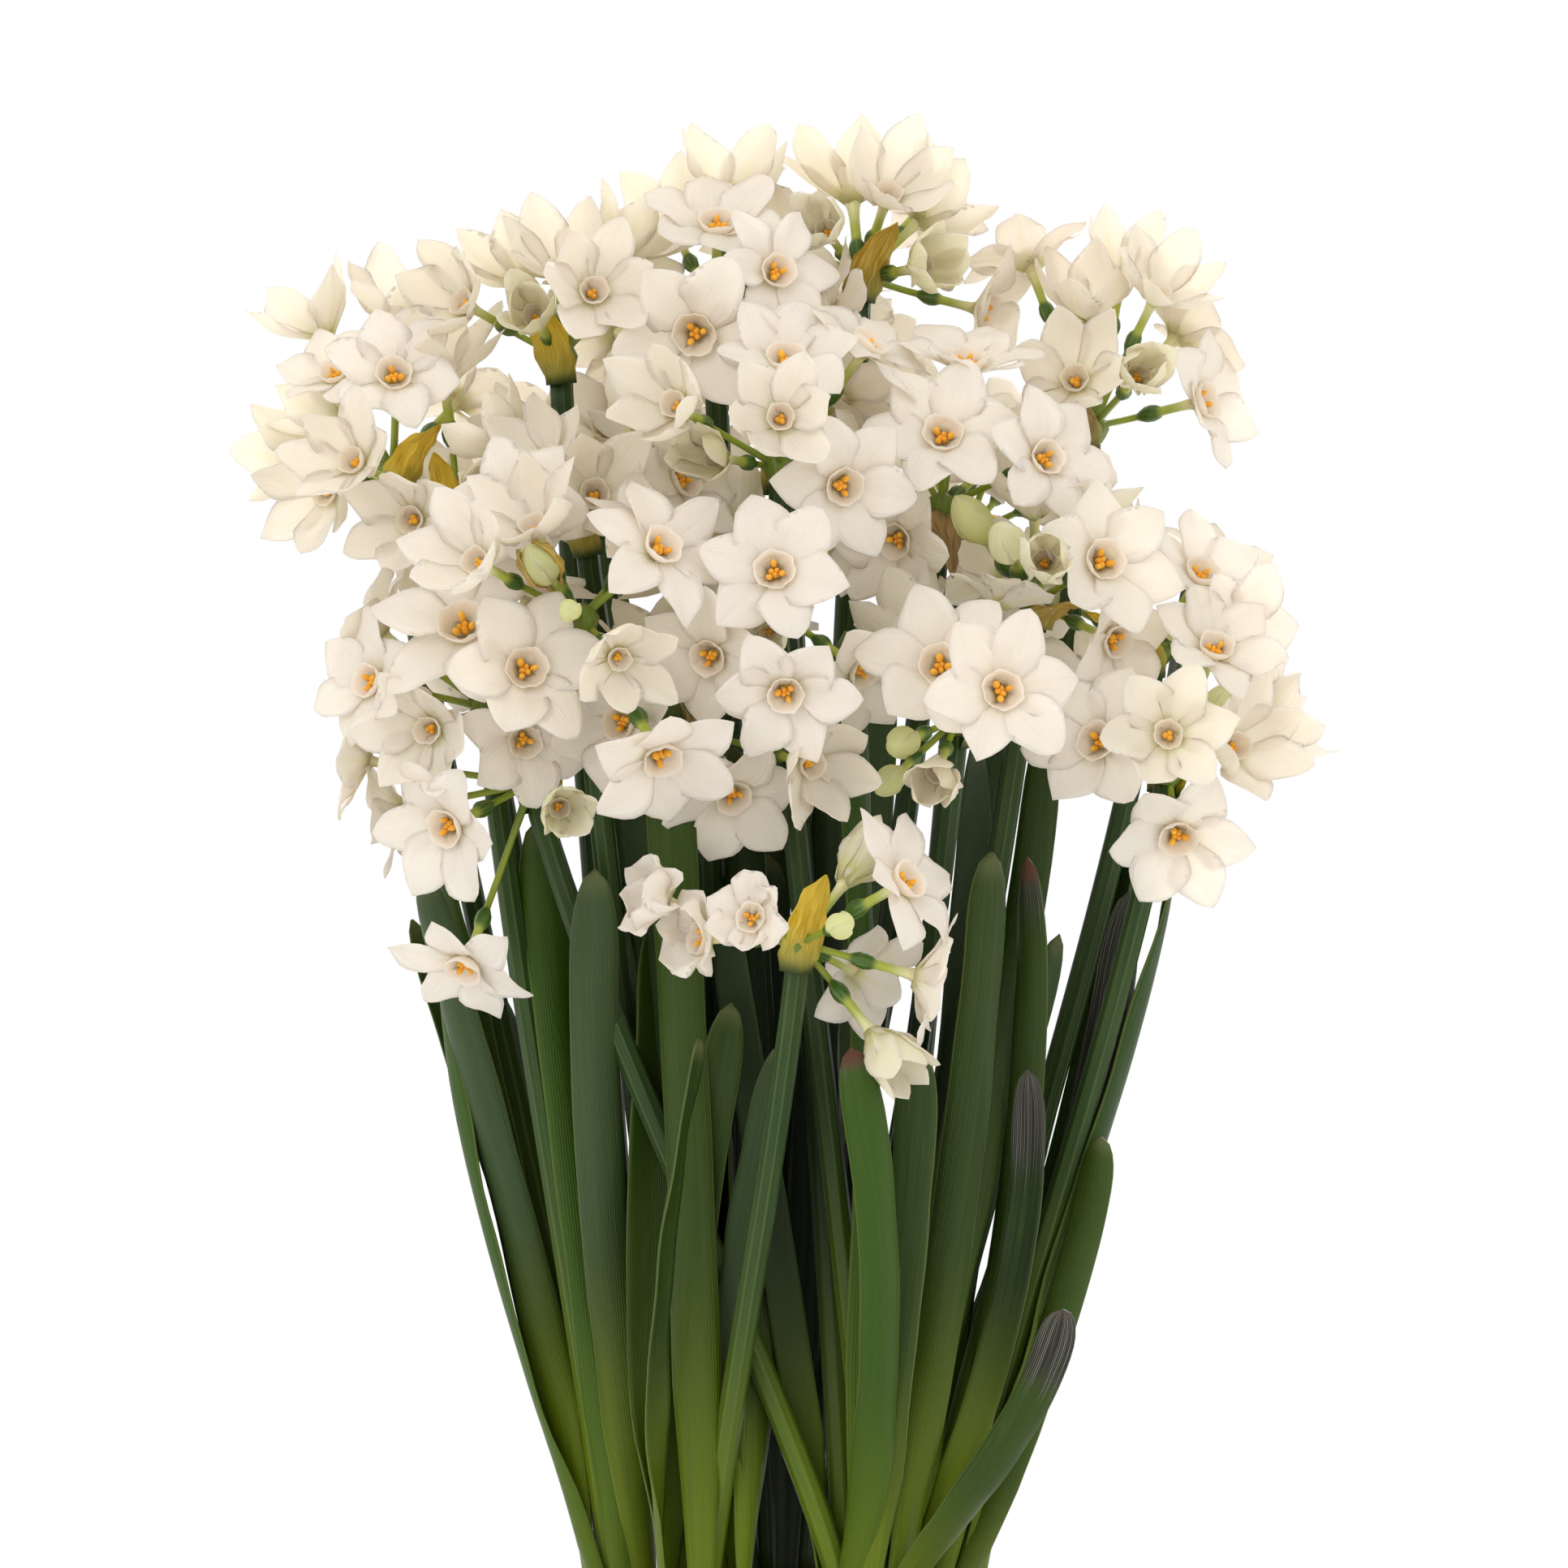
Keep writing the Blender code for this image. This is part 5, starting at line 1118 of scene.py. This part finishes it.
def petalFinish():
    made = Finish("petal", Roughness=0.5, Specular_IOR_Level=0.2)
    along, across, back, cup = (made.mark(name) for name in ("along", "across", "back", "cup"))
    young, tint = made.mark("young"), made.mark("tint")
    veins = made.noise(1.0, 3.0, made.spot(across * 9.0, along * 1.6, tint * 31.0))
    blotch = made.noise(160.0, 2.0)
    white = made.blend(tint, (0.985, 0.945, 0.905), (0.98, 0.935, 0.87))
    white = made.blend(veins.between(0.4, 0.8) * 0.35, white, (0.96, 0.885, 0.80))
    white = made.blend(blotch.between(0.5, 0.8) * 0.25, white, (0.965, 0.885, 0.79))
    reach = along - young * 0.3
    rib = (1 - across.size() * 3.2).between(0.0, 1.0) * back * 0.4
    green = (1 - reach.between(0.02, 0.24)) * (0.25 + back * 0.5) + rib * (1 - along)
    colour = made.blend(green, white, (0.86, 0.86, 0.42))
    margin = 1 - across.size().between(0.72, 1.0) * 0.7
    colour = made.blend(young * (0.25 + back * 0.5) * margin, colour, (0.72, 0.77, 0.26))
    cupWhite = made.blend(along.between(-0.5, 0.3), (0.95, 0.74, 0.36), (0.985, 0.91, 0.81))
    cupWhite = made.blend(along.between(0.75, 1.0), cupWhite, (0.985, 0.95, 0.90))
    colour = made.blend(cup, colour, cupWhite)
    made.feed(Base_Color=colour, Normal=made.bump(veins, 0.5, 0.0009))
    made.letLightThrough(made.blend(0.5, colour, (0.99, 0.925, 0.81)), 0.52)
    return made.material


def antherFinish():
    made = Finish("anther", Roughness=0.75)
    grain = made.noise(2500.0, 2.0)
    colour = made.blend(made.mark("tint"), (0.84, 0.33, 0.015), (0.92, 0.46, 0.03))
    colour = made.blend(grain * 0.4, colour, (0.95, 0.58, 0.08))
    made.feed(Base_Color=colour, Normal=made.bump(grain, 0.6, 0.0004))
    return made.material


def stemFinish():
    made = Finish("pedicel", Roughness=0.4, Specular_IOR_Level=0.45)
    along, tint, young = (made.mark(name) for name in ("along", "tint", "young"))
    streak = made.noise(1.0, 2.0, made.spot(made.mark("round") * 18.0, along * 3.0, tint * 20.0))
    colour = made.blend(along.between(0.0, 0.3), (0.13, 0.20, 0.010), (0.31, 0.38, 0.022))
    colour = made.blend(along.between(0.38, 0.45), colour, (0.05, 0.125, 0.008))
    colour = made.blend(along.between(0.6, 0.68), colour, (0.46, 0.52, 0.07))
    colour = made.blend(along.between(0.72, 0.97), colour, (0.86, 0.83, 0.45))
    colour = made.blend(streak.between(0.4, 0.8) * 0.35, colour, (0.45, 0.52, 0.22))
    made.feed(Base_Color=colour, Normal=made.bump(streak, 0.3, 0.0006))
    made.letLightThrough(colour, 0.15)
    return made.material


def spatheFinish():
    made = Finish("spathe", Roughness=0.6)
    along, across, tint = (made.mark(name) for name in ("along", "across", "tint"))
    fibre = made.noise(1.0, 4.0, made.spot(across * 12.0, along * 2.5, tint * 40.0))
    gold = made.blend(fibre.between(0.3, 0.7), (0.78, 0.53, 0.02), (0.96, 0.78, 0.13))
    brown = made.blend(fibre.between(0.3, 0.7), (0.36, 0.20, 0.06), (0.74, 0.56, 0.28))
    colour = made.blend(tint.between(0.35, 0.75), gold, brown)
    colour = made.blend((1 - along.between(0.1, 0.55)) * 0.6, colour, (0.34, 0.37, 0.10))
    colour = made.blend(1 - along.between(0.0, 0.22), colour, (0.06, 0.10, 0.02))
    made.feed(Base_Color=colour, Normal=made.bump(fibre, 0.7, 0.0008))
    made.letLightThrough(colour, 0.45)
    return made.material


petalSkinFinish, antherSkinFinish = petalFinish(), antherFinish()
stemSkinFinish, spatheSkinFinish = stemFinish(), spatheFinish()


# Flower heads
# The knob where the stems meet: steps along it and shares of its radius (None is the stalk's own)
knobRings = [(-0.9, None), (-0.5, 0.85), (0, 1), (0.5, 0.8), (0.85, 0.3)]
# How green each kind still is, how brown some sheaths are, and which florets (head, number) wither
youth = {"star": 0.0, "open": 0.03, "cup": 0.12, "tight": 0.42, "bud": 1.0}
sheathBrown = {"01": 0.1, "02": 0.2, "08": 0.05, "09": 0.8, "10": 0.56, "19": 0.3}
witheredFlorets = [("19", 0), ("19", 1), ("19", 2)]


def makeHead(name):
    draw = random.Random(1000 + int(name))
    stalk = stalks[name]
    petals, stems, anthers, spathe = Skin(), Skin(), Skin(), Skin()
    for pose in sprigs[name]:
        pose["young"] = min(1.0, youth[pose["kind"]] * draw.uniform(0.6, 1.4))
        pose["tint"] = draw.random()
        spot = (name, pose["row"]) if not pose["hidden"] else None
        pose["withered"] = spot in witheredFlorets
        fineStem(stems, pose)
        if pose["kind"] == "bud":
            fineBud(petals, pose)
            if spot in wrappedBuds:
                fineWrap(spathe, pose, draw)
            continue
        for petal in range(6):
            finePetal(petals, pose, petal, draw)
        fineCorona(petals, pose, draw)
        fineAnthers(anthers, pose, draw)
    core, way = headSize["core"], stalk["way"]
    knob = [stalk["node"] + way * core * step for step, _ in knobRings]
    radii = [stalkSize["topRadius"] if share is None else core * share for _, share in knobRings]
    tube(stems, knob, radii, 14, Vector((1, 0, 0)), ridge=0.06, ridges=7, along=0.05, tint=0.5)
    for length in (1, 0.75, 0.5):
        shape = roughSpathe(stalk["node"], heads[name]["spathe"], headSize["spathe"] * length)
        if hasRoom(["head_" + name], shape):
            keep("head_" + name, shape)
            browned = sheathBrown.get(name, draw.uniform(0, 1))
            fineSpathe(spathe, stalk, heads[name]["spathe"], headSize["spathe"] * length, browned, draw)
            break
    petals.dress("petals_" + name, petalSkinFinish, "petal", "head_" + name)
    stems.dress("pedicels_" + name, stemSkinFinish, "stalk", "head_" + name)
    if anthers.count:
        anthers.dress("anthers_" + name, antherSkinFinish, "anther")
    if spathe.count:
        spathe.dress("spathe_" + name, spatheSkinFinish, "spathe", "head_" + name)


for name in heads:
    makeHead(name)
print("made the flower heads")

# How deep a point is inside the clump, where little light falls, and so how much painted shade darkens leaves
# and stalks there: 1 deep inside, 0 at the outside, and less high up among the heads
clump = {"heights": [130 * mm, 150 * mm, 300 * mm, 420 * mm], "radii": [44 * mm, 48 * mm, 84 * mm, 108 * mm],
         "flat": 1.15, "dark": 0.4, "lit": 0.92, "openFrom": 270 * mm, "openTo": 370 * mm}


def buried(points):
    points = np.asarray(points, float)
    reach = np.hypot(points[..., 0], points[..., 1] * clump["flat"])
    edge = np.interp(points[..., 2], clump["heights"], clump["radii"])
    height = (points[..., 2] - clump["openFrom"]) / (clump["openTo"] - clump["openFrom"])
    inside = 1 - smooth((reach / edge - clump["dark"]) / (clump["lit"] - clump["dark"]))
    return inside * (1 - 0.7 * smooth(height))


# Stalks
stalkLook = {"rings": 26, "sides": 20, "ridge": 0.035, "ridges": 8}


def stalkFinish():
    made = Finish("stalk", Roughness=0.4, Specular_IOR_Level=0.22)
    along, turn, tint, paintedShadeMask = (made.mark(name) for name in ("along", "round", "tint", "buried"))
    lines = (turn * (6.2832 * stalkLook["ridges"])).wave()
    patch = made.noise(1.0, 3.0, made.spot(turn * 9.0, along * 6.0, tint * 17.0))
    colour = made.blend(along.between(0.0, 0.6), (0.130, 0.190, 0.003), (0.022, 0.050, 0.010))
    colour = made.blend(patch.between(0.35, 0.75) * 0.5, colour, (0.055, 0.092, 0.018))
    colour = made.blend(lines.between(0.5, 1.0) * 0.3, colour, (0.12, 0.17, 0.045))
    # painted shade: where a stalk lies deep inside the clump its colour is blended towards near black
    colour = made.blend(paintedShadeMask * 0.9, colour, (0.003, 0.008, 0.001))
    made.feed(Base_Color=colour, Normal=made.bump(lines + patch, 0.25, 0.0004))
    return made.material


def makeStalk(name, finish):
    stalk = stalks[name]
    fractions = np.linspace(0, 1, stalkLook["rings"])
    points, _ = stalkCurve(stalk["foot"], stalk["node"], stalk["bow"], stalk["way"], fractions)
    points = [tuple(point) for point in points]
    skin = Skin()
    # each point also carries how much painted shade it gets from lying deep inside the clump
    tube(skin, points, stalkRadius(fractions), stalkLook["sides"], Vector((1, 0, 0)),
         ridge=stalkLook["ridge"], ridges=stalkLook["ridges"], along=fractions, tint=int(name) / 23,
         buried=buried(points))
    skin.dress("stalk_" + name, finish, "stalk", "scape_" + name)


stalkSkinFinish = stalkFinish()
for name in stalks:
    makeStalk(name, stalkSkinFinish)
print("made the stalks")

# Leaves
leafLook = {"rows": 30, "columns": 9, "channel": 0.28, "twist": 0.3, "edgeThick": 0.5 * mm, "blunt": 0.13,
            "waves": (0.35 * mm, 0.25 * mm)}


def leafFinish():
    made = Finish("leaf", Roughness=0.38, Specular_IOR_Level=0.2)
    along, across, tint, paintedShadeMask = (made.mark(name) for name in ("along", "across", "tint", "buried"))
    dry, brown = made.mark("dry"), made.mark("brown")
    veins = (across * 62.0).wave()
    streak = made.noise(1.0, 4.0, made.spot(across * 7.0, along * 2.2, tint * 53.0))
    mottle = made.noise(1.0, 3.0, made.spot(across * 3.0, along * 14.0, tint * 29.0))
    deep = made.blend(tint, (0.010, 0.026, 0.006), (0.038, 0.075, 0.002))
    colour = made.blend(1 - (along + tint * 0.3).between(0.12, 0.66), deep, (0.150, 0.205, 0.001))
    colour = made.blend(streak.between(0.35, 0.75) * 0.4, colour, (0.052, 0.088, 0.016))
    colour = made.blend(mottle.between(0.55, 0.85) * 0.3, colour, (0.070, 0.104, 0.014))
    # painted sheen: some blades get a lighter bluish-grey green at mid-length, a glaucous tone that also
    # stands in for satin highlights
    colour = made.blend((tint * 7.0).wave().between(0.3, 0.9) * along.between(0.3, 0.6) * 0.4, colour,
                        (0.075, 0.120, 0.052))
    colour = made.blend((tint * 23.0).wave().between(0.55, 0.9) * 0.35, colour, (0.045, 0.125, 0.002))
    colour = made.blend(veins.between(0.3, 1.0) * 0.12, colour, (0.11, 0.16, 0.035))
    colour = made.blend(across.size().between(0.93, 1.0) * 0.35, colour, (0.18, 0.22, 0.06))
    # painted shade: where a blade lies deep inside the clump its colour is blended towards near black
    colour = made.blend(paintedShadeMask * 0.94, colour, (0.002, 0.006, 0.0005))
    colour = made.blend(along.between(0.95, 1.0) * 0.4, colour, (0.20, 0.20, 0.08))
    ribs = veins.between(-0.2, 0.9) * streak.between(0.35, 0.65)
    grey = made.blend(ribs, (0.020, 0.017, 0.013), (0.24, 0.225, 0.195))
    colour = made.blend((along + streak * 0.16 + dry).between(1.06, 1.16) * 0.9, colour, grey)
    colour = made.blend(brown * along.between(0.955, 0.985), colour, (0.105, 0.042, 0.022))
    made.feed(Base_Color=colour, Normal=made.bump(veins + streak * 2.0, 0.22, 0.0004))
    made.letLightThrough(made.blend(0.6, colour, (0.08, 0.30, 0.0)), 0.1)
    return made.material


def makeLeaf(skin, row, tint, dry, brown):
    width = row[3]
    t = 1 - (1 - np.linspace(0, 1, leafLook["rows"])) ** 1.25
    points, ways = leafPath(*row, list(t))
    path = np.array([tuple(p) for p in points])
    tangent = np.gradient(path, axis=0)
    tangent /= np.linalg.norm(tangent, axis=1, keepdims=True)
    normal = np.array([tuple(w) for w in ways])
    normal -= tangent * (normal * tangent).sum(1, keepdims=True)
    normal /= np.linalg.norm(normal, axis=1, keepdims=True)
    side = np.cross(normal, tangent)
    turn = (leafLook["twist"] * np.sin(5.5 * t + tint * 37) * smooth(t / 0.4))[:, None]
    side, normal = side * np.cos(turn) + normal * np.sin(turn), normal * np.cos(turn) - side * np.sin(turn)
    grown = np.clip(t / leafSize["grownAt"], 0, 1)
    blunt = leafLook["blunt"]
    closing = np.sqrt(np.clip(1 - (np.clip(t - (1 - blunt), 0, 1) / blunt) ** 2.4, 0.002, 1))
    half = (leafSize["footWidth"] * (1 - grown) + width * grown) * closing / 2
    s = np.linspace(-1, 1, leafLook["columns"])[None, :]
    column = t[:, None]
    wave = leafLook["waves"][0] * np.sin(column * 19 + tint * 40) * s
    wave = wave + leafLook["waves"][1] * np.sin(column * 33 + tint * 70) * s * s
    thick = leafLook["edgeThick"] + (leafSize["thick"] - leafLook["edgeThick"]) * (1 - s * s)
    thick = thick * (0.35 + 0.65 * closing[:, None])
    lift = -leafLook["channel"] * half[:, None] * (s * s - 0.33) + wave
    middle = path[:, None] + side[:, None] * (s * half[:, None])[..., None]
    middle = middle + normal[:, None] * lift[..., None]
    front = middle + normal[:, None] * (thick / 2)[..., None]
    back = middle - normal[:, None] * (thick / 2)[..., None]
    # each point also carries how much painted shade it gets from lying deep inside the clump
    slab(skin, front, back, along=column + 0 * s, across=s + 0 * column, tint=tint, dry=dry,
         brown=brown, buried=buried(middle))


# By bulb, width in mm and look: the share of the blade that is withered, and how brown its end is
dryTips = {(7, 10.7, 5): (0.04, 1.0), (7, 10.0, 15): (0.27, 0.2), (2, 11.0, 20): (0.36, 0.0),
           (2, 9.0, -25): (0.1, 1.0), (7, 9.0, -5): (0.2, 0.0)}
shootLook = {"sides": 28, "shares": [1, 1, 0.98, 0.9, 0.35]}  # the short green neck that the leaves rise from
leafSkinFinish = leafFinish()
for bulb, rows in leaves.items():
    skin = Skin()
    draw = random.Random(300 + bulb)
    for row in rows:
        key = (bulb, round(row[3] / mm, 1), row[5])
        makeLeaf(skin, row, draw.random(), *dryTips.get(key, (0.0, 0.0)))
    centre = bulbs[bulb - 1]
    shoot = [centre + Vector((0, 0, level)) for level in
             (neckFloor + seatGap, neckTop - 1 * mm, shootTop - 0.8 * mm, shootTop, shootTop + 0.5 * mm)]
    tube(skin, shoot, [bulbSize["shootRadius"] * share for share in shootLook["shares"]], shootLook["sides"],
         Vector((1, 0, 0)), ridge=0.02, ridges=9, along=0.02, tint=0.5)
    skin.dress("greens_%d" % bulb, leafSkinFinish, "leaf", "leaves_%d" % bulb)
print("made the leaves")

# Bulbs
# Outline: height and width of each ring, from the foot to inside the neck. Creases: how many, how deep
bulbLook = {"sides": 48, "crease": 0.012, "creases": [(7, 1), (13, 0.7), (23, 0.5)],
            "outline": [(0.0, 0.30), (0.02, 0.55), (0.10, 0.74), (0.22, 0.93), (0.36, 1.0), (0.48, 0.99),
                        (0.62, 0.93), (0.74, 0.85), (0.86, 0.77), (0.95, 0.735), (1.0, 0.725), (1.0, 0.66),
                        (0.93, 0.648), (0.88, 0.648)]}


def tunicFinish():
    made = Finish("tunic", Roughness=0.55)
    along, turn, tint = (made.mark(name) for name in ("along", "round", "tint"))
    fibre = made.noise(1.0, 5.0, made.spot(turn * 30.0, along * 1.5, tint * 20.0))
    flake = made.noise(90.0, 3.0)
    colour = made.blend(fibre.between(0.35, 0.7), (0.16, 0.075, 0.03), (0.40, 0.23, 0.11))
    colour = made.blend(flake.between(0.55, 0.7) * 0.6, colour, (0.50, 0.34, 0.19))
    colour = made.blend(along.between(0.86, 1.0) * 0.7, colour, (0.42, 0.33, 0.16))
    made.feed(Base_Color=colour, Normal=made.bump(fibre + flake * 0.5, 0.5, 0.0012))
    return made.material


def makeBulb(number, centre, finish):
    turn = roundTurn(bulbLook["sides"])
    phases = phasesFrom(random.Random(500 + number), 3)
    crease = bulbLook["crease"] * sum(deep * np.cos(many * turn + phase)
                                      for (many, deep), phase in zip(bulbLook["creases"], phases))
    points = []
    for level, share in bulbLook["outline"]:
        fold = 1 + crease * math.sin(math.pi * min(max(level, 0.05), 0.95)) * (1 if share > 0.7 else 0.2)
        radius = bulbSize["radius"] * share * fold
        height = np.full(len(turn), bulbFoot + bulbSize["height"] * level)
        x, y = centre.x + radius * np.cos(turn), centre.y + radius * np.sin(turn)
        points.append(np.stack([x, y, height], -1))
    points = np.array(points)
    levels = np.array([level for level, _ in bulbLook["outline"]])
    skin = Skin()
    closedRings(skin, points, np.stack([points[0].mean(0), points[-1].mean(0)]), tint=number / 7,
                along=(levels[:, None], levels[[0, -1]]), round=(turn / (2 * math.pi), [0, 0]))
    skin.dress("tunic_%d" % number, finish, "tunic", "bulb_%d" % number)


tunicSkinFinish = tunicFinish()
for number, centre in enumerate(bulbs, start=1):
    makeBulb(number, centre, tunicSkinFinish)
print("made the bulbs")

# Soil
soilLook = {"rings": 40, "sides": 96, "crumbs": 900, "seed": 41, "lumps": 14, "lumpHeight": 2.2 * mm,
            "lower": 0.6 * mm, "crumbSize": (0.7, 2.1), "slack": 1.5}


def earthFinish():
    made = Finish("earth", Roughness=0.95)
    grain = made.noise(900.0, 5.0)
    clod = made.noise(180.0, 3.0)
    colour = made.blend(clod, (0.020, 0.013, 0.009), (0.075, 0.050, 0.032))
    colour = made.blend(grain.between(0.6, 0.75) * 0.6, colour, (0.16, 0.12, 0.08))
    made.feed(Base_Color=colour, Normal=made.bump(grain, 0.8, 0.0015))
    return made.material


def potRadius(height):
    return potSize["footRadius"] + (potSize["topRadius"] - potSize["footRadius"]) * height / potSize["height"]


def makeSoil(finish):
    draw = random.Random(soilLook["seed"])
    side, foot = (potRadius(height) - potSize["wall"] - seatGap * soilLook["slack"]
                  for height in (soilTop, potSize["base"]))
    count, sides = soilLook["rings"], soilLook["sides"]
    turn = roundTurn(sides)
    share = np.sqrt(np.linspace(0.0004, 1, count))[:, None]
    x, y = side * share * np.cos(turn), side * share * np.sin(turn)
    lumps = sum(np.sin(x * a + y * b + c) for a, b, c in (
        (draw.uniform(-900, 900), draw.uniform(-900, 900), draw.uniform(0, 6))
        for _ in range(soilLook["lumps"]))) / soilLook["lumps"]
    height = soilTop + soilLook["lumpHeight"] * lumps - soilLook["lower"]
    floorLevel = potSize["base"] + seatGap
    top = np.stack([x, y, height], -1)
    low = np.stack([foot * np.cos(turn), foot * np.sin(turn), np.full(sides, floorLevel)], -1)
    points = np.concatenate([top.reshape(-1, 3), low, [[0, 0, height[0].mean()], [0, 0, floorLevel]]])
    index = np.arange(sides)
    after = np.roll(index, -1)
    edge = (count - 1) * sides
    wall = np.stack([index + edge, index + edge + sides, after + edge + sides, after + edge], -1)
    hub = np.stack([index, after, np.full(sides, len(points) - 2)], -1)
    floor = np.stack([after + edge + sides, index + edge + sides, np.full(sides, len(points) - 1)], -1)
    skin = Skin()
    skin.add(points, [gridFaces(count, sides, wrap=True)[:, ::-1], wall, hub, floor])
    for _ in range(soilLook["crumbs"]):
        angle, reach = draw.uniform(0, 6.28), side * math.sqrt(draw.uniform(0, 0.93))
        level = soilTop + draw.uniform(-0.6, 1.0) * mm
        spot = Vector((math.cos(angle) * reach, math.sin(angle) * reach, level))
        way = Vector((draw.uniform(-1, 1), draw.uniform(-1, 1), draw.uniform(-0.4, 0.8))).normalized()
        size = draw.uniform(*soilLook["crumbSize"]) * mm
        path = [spot + way * size * step for step in (-0.9, -0.4, 0.4, 0.9)]
        radii = [size * s * draw.uniform(0.7, 1.1) for s in (0.35, 0.85, 0.9, 0.4)]
        tube(skin, path, radii, 6, way.orthogonal(), ridge=0.12, ridges=3)
    skin.dress("potting_soil", finish, "soil", "soil")


makeSoil(earthFinish())
print("made the soil")

# Pot
potLook = {"sides": 128, "bevel": 1.5 * mm, "easeSteps": (0, 0.25, 0.5, 0.75, 1), "least": 0.05 * mm}


def glazeFinish():
    made = Finish("glaze", Roughness=0.24, Coat_Weight=0.3, Coat_Roughness=0.12)
    tone = made.noise(14.0, 3.0)
    speck = made.noise(420.0, 2.0)
    height = made.node("ShaderNodeSeparateXYZ", {}, {0: made.place()}, output=2)
    throwing = made.node("ShaderNodeTexNoise", {"noise_dimensions": "1D"}, {"W": height, "Scale": 260.0})
    colour = made.blend(tone, (0.43, 0.405, 0.36), (0.53, 0.50, 0.45))
    colour = made.blend(speck.between(0.70, 0.74) * 0.5, colour, (0.24, 0.20, 0.16))
    made.feed(Base_Color=colour, Normal=made.bump(throwing + tone * 2.0, 0.12, 0.0012))
    return made.material


def makePot(finish):
    rimFoot = potSize["height"] - potSize["rimHeight"]
    rimRadius = potSize["topRadius"] + potSize["rimProud"]
    bevel, least = potLook["bevel"], potLook["least"]
    inner = potSize["topRadius"] - potSize["wall"]
    corners = [  # radius, height, and how far from the corner its rounding starts
        (0, potSize["base"], 0), (potRadius(potSize["base"]) - potSize["wall"], potSize["base"], 3 * mm),
        (inner, potSize["height"] - bevel, 1 * mm), (inner + bevel, potSize["height"], 0.8 * mm),
        (rimRadius - bevel, potSize["height"], 1.6 * mm), (rimRadius, potSize["height"] - bevel, 0.8 * mm),
        (rimRadius - bevel, rimFoot, 1.2 * mm), (potRadius(rimFoot), rimFoot - bevel, 0.8 * mm),
        (potRadius(bevel), bevel, 1.4 * mm), (potRadius(0) - bevel, 0, 0.5 * mm), (0, 0, 0)]
    outline = []
    for number, (radius, height, ease) in enumerate(corners):
        here = Vector((radius, height))
        if ease == 0:
            outline.append(here)
            continue
        before, after = (Vector(corners[number + step][:2]) for step in (-1, 1))
        start = here + (before - here).normalized() * ease
        end = here + (after - here).normalized() * ease
        for t in potLook["easeSteps"]:
            outline.append(start * (1 - t) ** 2 + here * 2 * t * (1 - t) + end * t * t)
    sides = potLook["sides"]
    turn = roundTurn(sides)
    points = np.array([np.stack([max(p.x, least) * np.cos(turn), max(p.x, least) * np.sin(turn),
                                 np.full(sides, p.y)], -1) for p in outline])
    skin = Skin()
    skin.add(points, [gridFaces(len(outline), sides, wrap=True)])
    skin.dress("glazed_pot", finish, "pot", "pot")


makePot(glazeFinish())
print("made the pot")

# Floor, light and camera
# Each lamp: place, width in metres, watts. All aim at the middle of the plant
studio = {"floorRadius": 1.3, "floorSides": 96, "floorLevel": -0.0002, "aim": (0, 0, 0.36), "ambient": 1.1,
          "lamps": {"key": ((-1.1, -1.5, 1.5), 1.3, 8.0), "fill": ((1.6, -1.2, 0.9), 1.4, 3.0),
                    "rim": ((0.5, 1.6, 1.3), 1.2, 22.0)},
          "sensor": 36}


def makeFloor():
    mesh = bpy.data.meshes.new("floor")
    radius, level = studio["floorRadius"], studio["floorLevel"]
    points = [(radius * math.cos(a), radius * math.sin(a), level) for a in roundTurn(studio["floorSides"])]
    mesh.from_pydata(points, [], [tuple(range(len(points)))])
    floor = bpy.data.objects.new("floor", mesh)
    stage.collection.objects.link(floor)
    made = Finish("floor", Base_Color=(0.86, 0.86, 0.86, 1), Roughness=0.8)
    mesh.materials.append(made.material)


def lamp(name, place, size, watts):
    light = bpy.data.lights.new(name, "AREA")
    light.shape, light.size, light.energy = "DISK", size, watts
    thing = bpy.data.objects.new(name, light)
    thing.location = place
    thing.rotation_euler = (Vector(studio["aim"]) - Vector(place)).to_track_quat("-Z", "Y").to_euler()
    stage.collection.objects.link(thing)


def makeStudio():
    for name, light in studio["lamps"].items():
        lamp(name, *light)
    world = bpy.data.worlds.new("studio")
    stage.world = world
    world.use_nodes = True
    tree = world.node_tree
    glow = tree.nodes["Background"]
    glow.inputs["Color"].default_value = (1, 1, 1, 1)
    path = tree.nodes.new("ShaderNodeLightPath")  # the backdrop stays plain white, whatever the ambient light
    share = tree.nodes.new("ShaderNodeMapRange")
    share.inputs["To Min"].default_value = studio["ambient"]
    tree.links.new(path.outputs["Is Camera Ray"], share.inputs["Value"])
    tree.links.new(share.outputs[0], glow.inputs["Strength"])
    stage.view_settings.view_transform = "Standard"


def makeCamera():
    distance = viewGrid["distance"]
    width = viewGrid["steps"] * viewGrid["step"]
    data = bpy.data.cameras.new("camera")
    data.sensor_width = studio["sensor"]
    data.lens = studio["sensor"] * distance / width
    camera = bpy.data.objects.new("camera", data)
    camera.location = (0, -distance, viewGrid["edgeHeight"] + width / 2)
    camera.rotation_euler = (math.pi / 2, 0, 0)
    stage.collection.objects.link(camera)
    stage.camera = camera


makeFloor()
makeStudio()
makeCamera()
print("made the studio")
